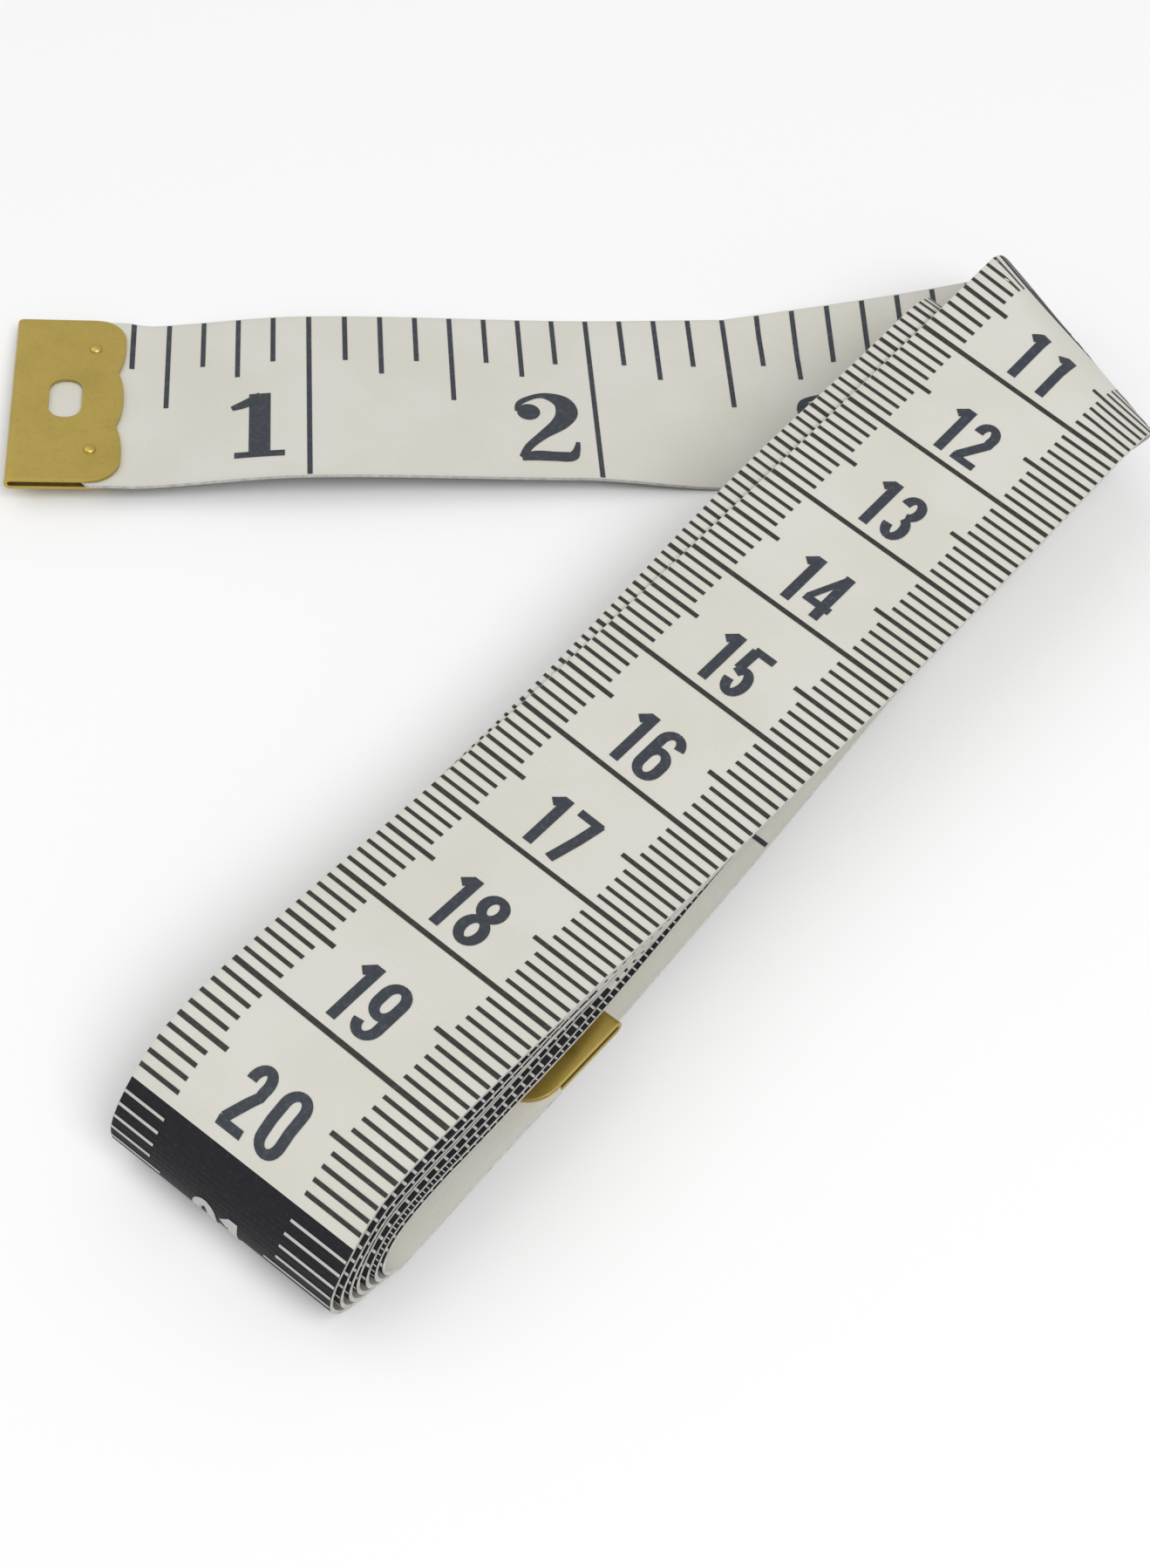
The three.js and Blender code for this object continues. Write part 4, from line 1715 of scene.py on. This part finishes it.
@dataclass
class TapePiece:
    """One length of the tape with its print.

    Args:
        name: The piece's name, which is that of the node it replaces.
        grid: The length of tape.
        frame: Where the tape's frame lies.
        print_from: Where the print begins.
        print_to: Where the print ends.
    """

    name: str
    grid: TapeGrid
    frame: TapeFrame
    print_from: float
    print_to: float
    made: list[bpy.types.Object] = field(default_factory=list)
    smooth_angle: float = math.radians(40.0)

    def build(self, coats: list[bpy.types.Material], inks: dict[Ink, bpy.types.Material]) -> None:
        """Builds the tape and lays its print on both sides.

        Args:
            coats: Finishes of the inch side, the centimetre side and the cut edges.
            inks: The material of each ink.
        """
        tape = self._ribbon()
        for coat in coats:
            tape.data.materials.append(coat)
        self.made.append(tape)
        half = self.grid.across[-1]
        scales = {PrintSide.CENTIMETRE: CentimetreScale(), PrintSide.INCH: InchScale()}
        for side, scale in scales.items():
            for ink, sheet in scale.print_on(self.print_from, self.print_to, half).items():
                name = f"{self.name}_{side.name.lower()}_{ink.value}_print"
                film = sheet.lay(name, self.grid, side, self.frame)
                film.data.materials.append(inks[ink])
                self.made.append(film)

    def ride(self, body: str) -> None:
        """Moves the tape and its print with one body."""
        for piece in self.made:
            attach(piece, body)

    def bend(self, held: str, moving: str, start: Triple, end: Triple) -> None:
        """Bakes the places of the tape and its print into their meshes."""
        for piece in self.made:
            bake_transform(piece)

    def declare(self, length: float, held: str, rests_on: list[str]) -> None:
        """Hides the node that this piece stands for.

        Args:
            length: Flat length of the cloth; not used.
            held: How the cloth is held; not used.
            rests_on: Names of the pieces that it rests on; not used.
        """
        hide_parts(self.name)
        width = float(self.grid.across[-1] - self.grid.across[0])

    def _ribbon(self) -> bpy.types.Object:
        """The closed ribbon, with the print's own map.

        Returns:
            The mesh object.
        """
        rows, columns = self.grid.labels.shape
        offset = self.grid.facing() * self.grid.thickness / 2.0
        points = np.concatenate([(self.grid.points + offset), (self.grid.points - offset)])
        index = np.arange(2 * rows * columns).reshape(2, rows, columns)
        faces: list[list[int]] = []
        slots: list[int] = []
        for layer, flip in ((0, False), (1, True)):
            at = index[layer]
            quads = np.stack([at[:-1, :-1], at[:-1, 1:], at[1:, 1:], at[1:, :-1]], 2).reshape(-1, 4)
            faces += (quads[:, ::-1] if flip else quads).tolist()
            slots += [layer] * len(quads)
        rim = np.concatenate(
            [index[:, :, 0].T, index[:, -1, 1:].T, index[:, ::-1, -1].T[1:], index[:, 0, ::-1].T[1:-1]]
        )
        after = np.roll(rim, -1, axis=0)
        faces += np.stack([rim[:, 0], after[:, 0], after[:, 1], rim[:, 1]], 1).tolist()
        slots += [2] * len(rim)
        tape = new_mesh_object(f"{self.name}_cloth", self.frame.to_row(points.reshape(-1, 3)), faces)
        tape.data.polygons.foreach_set("material_index", slots)
        self._map_print(tape)
        select_only(tape)
        bpy.ops.object.shade_smooth_by_angle(angle=self.smooth_angle)
        return tape

    def _map_print(self, tape: bpy.types.Object) -> None:
        """Stores length along and place across the tape as a map, in metres.

        Args:
            tape: The ribbon.
        """
        labels = np.stack([self.grid.labels, np.broadcast_to(self.grid.across, self.grid.labels.shape)], 2)
        both = np.concatenate([labels.reshape(-1, 2)] * 2) * MM
        corners = np.zeros(len(tape.data.loops), np.int32)
        tape.data.loops.foreach_get("vertex_index", corners)
        layer = tape.data.uv_layers.new(name="print")
        layer.data.foreach_set("uv", both[corners].astype(np.float32).ravel())


@dataclass
class BrassClip:
    """A brass sheet folded over the end of the tape, with three lobes and an oblong eye."""

    name: str = "brass_clip"
    length: float = 9.5
    width: float = 19.6
    sheet: float = 0.3
    slot: float = 0.5
    corner: float = 2.6
    valley: float = 0.55
    lobes: int = 3
    lobe_power: float = 2.2
    plate_grid: tuple[int, int] = (24, 180)
    fold_cuts: int = 9
    eye: Triple = (4.6, 2.8, 4.65)
    eye_corner: float = 1.25
    eye_segments: int = 8
    cutter_height: float = 4.0
    dimple: Triple = (6.9, 6.15, 0.55)
    dimple_height: float = 0.28
    dimple_rings: tuple[int, int] = (24, 12)
    bevel: float = 0.09
    bevel_segments: int = 2
    bevel_angle: float = math.radians(50.0)
    smooth_angle: float = math.radians(35.0)
    tolerance: float = 1e-4

    def model(self) -> bpy.types.Object:
        """Models the clip in millimetres, with its fold at the origin.

        Returns:
            The mesh object.
        """
        clip = self._folded_sheet()
        self._cut_eye(clip)
        self._add_dimples(clip)
        apply_modifier(
            clip,
            "BEVEL",
            width=self.bevel,
            segments=self.bevel_segments,
            limit_method="ANGLE",
            angle_limit=self.bevel_angle,
        )
        bpy.ops.object.shade_smooth_by_angle(angle=self.smooth_angle)
        return clip

    def _inner_edge(self, y: np.ndarray) -> np.ndarray:
        """Where the sheet ends, with its lobes and its rounded corners.

        Args:
            y: Places across the clip.

        Returns:
            How far the sheet reaches at each place.
        """
        half = self.width / 2.0
        lobe = self.width / self.lobes
        phase = np.mod(y + half, lobe) / lobe - 0.5
        edge = self.length - self.valley * (2.0 * np.abs(phase)) ** self.lobe_power
        outer = np.abs(y) - half + lobe / 2.0
        edge = np.where(outer > 0.0, self.length, edge)
        past = np.clip(np.abs(y) - (half - self.corner), 0.0, self.corner)
        return edge - self.corner + np.sqrt(self.corner**2 - past**2)

    def _folded_sheet(self) -> bpy.types.Object:
        """Two plates from grids, bridged by the round fold and given their thickness.

        Returns:
            The mesh object.
        """
        bpy.ops.object.select_all(action="DESELECT")
        along, over = self.plate_grid
        bpy.ops.mesh.primitive_grid_add(x_subdivisions=along, y_subdivisions=over, size=2.0)
        clip = bpy.context.active_object
        clip.name = self.name
        clip.data.name = self.name
        fold = (self.slot + self.sheet) / 2.0
        start = self.slot / 2.0 + self.sheet
        at = np.array([vertex.co for vertex in clip.data.vertices])
        y = at[:, 1] * self.width / 2.0
        x = mix(start, self._inner_edge(y), (at[:, 0] + 1.0) / 2.0)
        plate = np.stack([x, y, np.full_like(x, fold)], 1)
        clip.data.vertices.foreach_set("co", plate.ravel())
        bpy.ops.object.mode_set(mode="EDIT")
        bpy.ops.mesh.select_all(action="SELECT")
        bpy.ops.mesh.duplicate()
        bpy.ops.transform.translate(value=(0.0, 0.0, -2.0 * fold))
        select_edges(clip, lambda *ends: all(abs(end.x - start) < self.tolerance for end in ends))
        bpy.ops.mesh.bridge_edge_loops(number_cuts=self.fold_cuts)
        bpy.ops.object.mode_set(mode="OBJECT")
        for vertex in clip.data.vertices:
            if abs(vertex.co.z) < fold - self.tolerance:
                vertex.co.x = start - math.sqrt(max(fold**2 - vertex.co.z**2, 0.0))
        bpy.ops.object.mode_set(mode="EDIT")
        bpy.ops.mesh.select_all(action="SELECT")
        bpy.ops.mesh.normals_make_consistent(inside=False)
        bpy.ops.object.mode_set(mode="OBJECT")
        apply_modifier(clip, "SOLIDIFY", thickness=self.sheet, offset=0.0)
        return clip

    def _cut_eye(self, clip: bpy.types.Object) -> None:
        """Cuts the oblong eye through both plates.

        Args:
            clip: The folded sheet.
        """
        bpy.ops.object.select_all(action="DESELECT")
        bpy.ops.mesh.primitive_cube_add(size=1.0, location=(self.eye[0], 0.0, 0.0))
        cutter = bpy.context.active_object
        cutter.scale = (self.eye[1], self.eye[2], self.cutter_height)
        bpy.ops.object.transform_apply(location=True, rotation=False, scale=True)
        bpy.ops.object.mode_set(mode="EDIT")
        select_edges(cutter, lambda first, last: abs(first.z - last.z) > self.tolerance)
        bpy.ops.mesh.bevel(offset=self.eye_corner, segments=self.eye_segments, affect="EDGES")
        bpy.ops.object.mode_set(mode="OBJECT")
        apply_modifier(clip, "BOOLEAN", operation="DIFFERENCE", solver="EXACT", object=cutter)
        bpy.data.objects.remove(cutter)

    def _add_dimples(self, clip: bpy.types.Object) -> None:
        """Raises the two pressed dimples beside the eye.

        Args:
            clip: The folded sheet.
        """
        top = self.slot / 2.0 + self.sheet
        along, aside, radius = self.dimple
        segments, rings = self.dimple_rings
        bpy.ops.object.select_all(action="DESELECT")
        bpy.ops.mesh.primitive_uv_sphere_add(segments=segments, ring_count=rings, radius=1.0)
        dome = bpy.context.active_object
        dome.scale = (radius, radius, self.dimple_height)
        dome.location = (along, 0.0, top)
        bpy.ops.object.transform_apply(location=True, rotation=False, scale=True)
        bpy.ops.object.mode_set(mode="EDIT")
        bpy.ops.mesh.select_all(action="SELECT")
        low = (along, 0.0, top - self.sheet / 3.0)
        bpy.ops.mesh.bisect(plane_co=low, plane_no=(0.0, 0.0, 1.0), use_fill=True, clear_inner=True)
        bpy.ops.object.mode_set(mode="OBJECT")
        places = [Matrix.Translation((0.0, side * aside, 0.0)) for side in (-1.0, 1.0)]
        domes = [copy_of(dome, "dimple", place) for place in places]
        bpy.data.objects.remove(dome)
        select_only(clip, *domes)
        bpy.ops.object.join()


@dataclass
class ClipSeat:
    """Where a clip sits on the tape.

    Args:
        name: The piece's name.
        node: The node that the clip replaces.
        body: The body that it moves with.
        place: Its place and turn in the tape's frame.
    """

    name: str
    node: str
    body: str
    place: Matrix

    def fit(self, model: bpy.types.Object, frame: TapeFrame, brass: bpy.types.Material) -> None:
        """Puts a copy of the modelled clip in its place.

        Args:
            model: The modelled clip.
            frame: Where the tape's frame lies.
            brass: The clip's finish.
        """
        clip = copy_of(model, self.name, self.place)
        clip.data.transform(Matrix.Diagonal((MM, MM, MM, 1.0)))
        clip.data.transform(Matrix.Translation((frame.x, frame.y, 0.0)))
        clip.data.materials.clear()
        clip.data.materials.append(brass)
        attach(clip, self.body)
        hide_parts(self.node)
        LOG.info("%s: %d faces", self.name, len(clip.data.polygons))


@dataclass(frozen=True)
class Lamp:
    """A large soft lamp that faces the object, its place and size in metres and its power in watts."""

    name: str
    place: Triple
    size: float
    power: float

    def build(self) -> None:
        """Adds the lamp."""
        data = bpy.data.lights.new(self.name, "AREA")
        data.shape = "DISK"
        data.size = self.size
        data.energy = self.power
        lamp = bpy.data.objects.new(self.name, data)
        bpy.context.scene.collection.objects.link(lamp)
        lamp.location = self.place
        lamp.rotation_mode = "QUATERNION"
        lamp.rotation_quaternion = (-Vector(self.place)).to_track_quat("-Z", "Y")


@dataclass
class Studio:
    """A pale floor, soft light and the camera at the photograph's angle.

    The camera's place is in the tape's frame and its angles are in degrees. The floor is in metres.
    """

    camera_place: Triple = (30.027, -140.92, 152.331)
    elevation: float = 56.12
    azimuth: float = 8.80
    roll: float = 5.62
    focal_pixels: float = 2681.5
    sensor: float = 36.0
    clip_start: float = 0.005
    floor_size: float = 4.0
    floor_drop: float = 0.0001
    floor_colour: Triple = (0.97, 0.97, 0.97)
    sky_colour: Triple = (1.0, 1.0, 1.0)
    sky: float = 0.47
    backdrop: Triple = (0.8, 0.8, 0.8)
    lamps: tuple[Lamp, ...] = (
        Lamp("key", (0.25, -0.4, 0.74), 0.6, 4.1),
        Lamp("fill", (-0.4, 0.15, 0.7), 0.8, 1.3),
    )

    def build(self, frame: TapeFrame) -> None:
        """Makes the floor, the lights and the camera.

        Args:
            frame: Where the tape's frame lies.
        """
        self._floor()
        self._world()
        for lamp in self.lamps:
            lamp.build()
        self._camera(frame)

    def _camera(self, frame: TapeFrame) -> None:
        """Places the camera as the photographer stood.

        Args:
            frame: Where the tape's frame lies.
        """
        tilt, turn, roll = (math.radians(a) for a in (self.elevation, self.azimuth, self.roll))
        ahead = Vector((math.cos(tilt) * math.sin(turn), math.cos(tilt) * math.cos(turn), -math.sin(tilt)))
        right = ahead.cross(Vector((0.0, 0.0, 1.0))).normalized()
        up = right.cross(ahead)
        side = right * math.cos(roll) + up * math.sin(roll)
        head = up * math.cos(roll) - right * math.sin(roll)
        data = bpy.data.cameras.new("camera")
        data.sensor_width = self.sensor
        data.lens = self.focal_pixels * self.sensor / max(IMAGE_WIDTH, IMAGE_HEIGHT)
        data.clip_start = self.clip_start
        camera = bpy.data.objects.new("camera", data)
        bpy.context.scene.collection.objects.link(camera)
        turned = Matrix((side, head, -ahead)).transposed().to_4x4()
        camera.matrix_world = Matrix.Translation(frame.row_point(self.camera_place)) @ turned
        bpy.context.scene.camera = camera

    def _floor(self) -> None:
        """Adds the pale floor."""
        bpy.ops.object.select_all(action="DESELECT")
        bpy.ops.mesh.primitive_plane_add(size=self.floor_size, location=(0.0, 0.0, -self.floor_drop))
        floor = bpy.context.active_object
        floor.name = "floor"
        sheet = MaterialSheet("pale_floor")
        sheet.shade(Base_Color=self.floor_colour, Roughness=0.9, Specular_IOR_Level=0.0)
        floor.data.materials.append(sheet.material)

    def _world(self) -> None:
        """Lights the scene evenly, with a pale backdrop that is seen directly and in the brass."""
        world = bpy.data.worlds.new("studio")
        bpy.context.scene.world = world
        world.use_nodes = True
        nodes = world.node_tree.nodes
        nodes.remove(nodes["Background"])
        sheet = NodeSheet(world.node_tree)
        light = sheet.node("ShaderNodeBackground", {}, {"Color": self.sky_colour, "Strength": self.sky})
        seen = sheet.node("ShaderNodeBackground", {}, {"Color": self.backdrop, "Strength": 1.0})
        share = sheet.node("ShaderNodeLightPath", {}, {}, "Is Camera Ray")
        path = share.socket.node
        for kind in ("Glossy", "Transmission"):
            share = share.larger(Value(sheet, path.outputs[f"Is {kind} Ray"]))
        both = sheet.node("ShaderNodeMixShader", {}, {0: share, 1: light, 2: seen})
        sheet.feed(nodes["World Output"].inputs["Surface"], both)


@dataclass
class TapeMeasure:
    """The whole tape measure: the tape in three lengths and its two clips."""

    frame: TapeFrame
    route: TapeRoute = field(default_factory=TapeRoute)
    finish: TapeFinish = field(default_factory=TapeFinish)

    def build(self) -> None:
        """Builds the clips and the tape, and fastens the clips and the hank's tape to their bodies."""
        brass = BrassFinish().material()
        model = BrassClip().model()
        seats = (
            ClipSeat("zero_end_brass_clip", "zero_end_clip", "lead", self.route.lead_clip_place()),
            ClipSeat("far_end_brass_clip", "far_end_clip", "tail", self.route.tail_clip_place()),
        )
        for seat in seats:
            seat.fit(model, self.frame, brass)
        bpy.data.objects.remove(model)
        self._tape()

    def _tape(self) -> None:
        """Builds the three lengths of tape."""
        grid, hinge, tail = self.route.grid()
        coats = [
            self.finish.side("tape_inch_side", False),
            self.finish.side("tape_centimetre_side", True),
            self.finish.cut_edge(),
        ]
        inks = self._inks()
        last = len(grid.labels) - 1
        rows = {"tape_lead": (0, hinge), "tape_hank": (hinge, tail), "tape_tail": (tail, last)}
        pieces = {}
        for name, (start, end) in rows.items():
            begin, stop = float(grid.labels[start, 0]), float(grid.labels[end, 0])
            margin = self.route.clip_length
            pieces[name] = TapePiece(
                name,
                grid.part(start, end),
                self.frame,
                max(begin, margin),
                min(stop, self.route.length - margin),
            )
            pieces[name].build(coats, inks)
        self._fasten(pieces, grid, hinge, tail)

    def _fasten(self, pieces: dict[str, TapePiece], grid: TapeGrid, hinge: int, tail: int) -> None:
        """Args:
            pieces: The three lengths of tape by name.
            grid: The whole tape.
            hinge: The row of the laid-out end's hinge.
            tail: The row where the tail begins.
        """
        route = self.route
        reaches = (0.0, route.bend_reach)
        bends = {
            "lead": [(route.lead_hinge - reach, 0.0, 0.0) for reach in reaches],
            "tail": [route.tail_point(route.tail_hinge - reach) for reach in reaches],
        }
        pieces["tape_hank"].ride("hank")
        for body, ends in bends.items():
            pieces[f"tape_{body}"].bend("hank", body, *(self.frame.row_point(end) for end in ends))
        cuts = [0.0, float(grid.labels[hinge, 0]), float(grid.labels[tail, 0]), route.length]
        pieces["tape_lead"].declare(cuts[1] - cuts[0], "laid", ["floor"])
        pieces["tape_hank"].declare(cuts[2] - cuts[1], "folded", ["floor"])
        pieces["tape_tail"].declare(cuts[3] - cuts[2], "folded", ["tape_hank_cloth"])

    def _inks(self) -> dict[Ink, bpy.types.Material]:
        """Mixes the three inks.

        Returns:
            The material of each ink.
        """
        finishes = {
            Ink.DARK: InkFinish(srgb(44, 43, 40), srgb(74, 72, 66)),
            Ink.BLUE: InkFinish(srgb(52, 56, 63), srgb(84, 88, 94)),
            Ink.WHITE: InkFinish(srgb(194, 194, 190), srgb(164, 164, 162)),
        }
        return {ink: finish.material(f"{ink.value}_ink") for ink, finish in finishes.items()}


def corners(box: tuple[Vector, Vector]) -> list[list[float]]:
    """A box as plain lists of numbers."""
    return [list(corner) for corner in box]


def main() -> None:
    """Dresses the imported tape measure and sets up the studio."""
    logging.basicConfig(level=logging.INFO, format="%(name)s: %(message)s")
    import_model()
    bpy.context.scene.view_settings.view_transform = "Standard"
    frame = TapeFrame.from_clip()
    Studio().build(frame)
    TapeMeasure(frame).build()


if __name__ == "__main__":
    main()
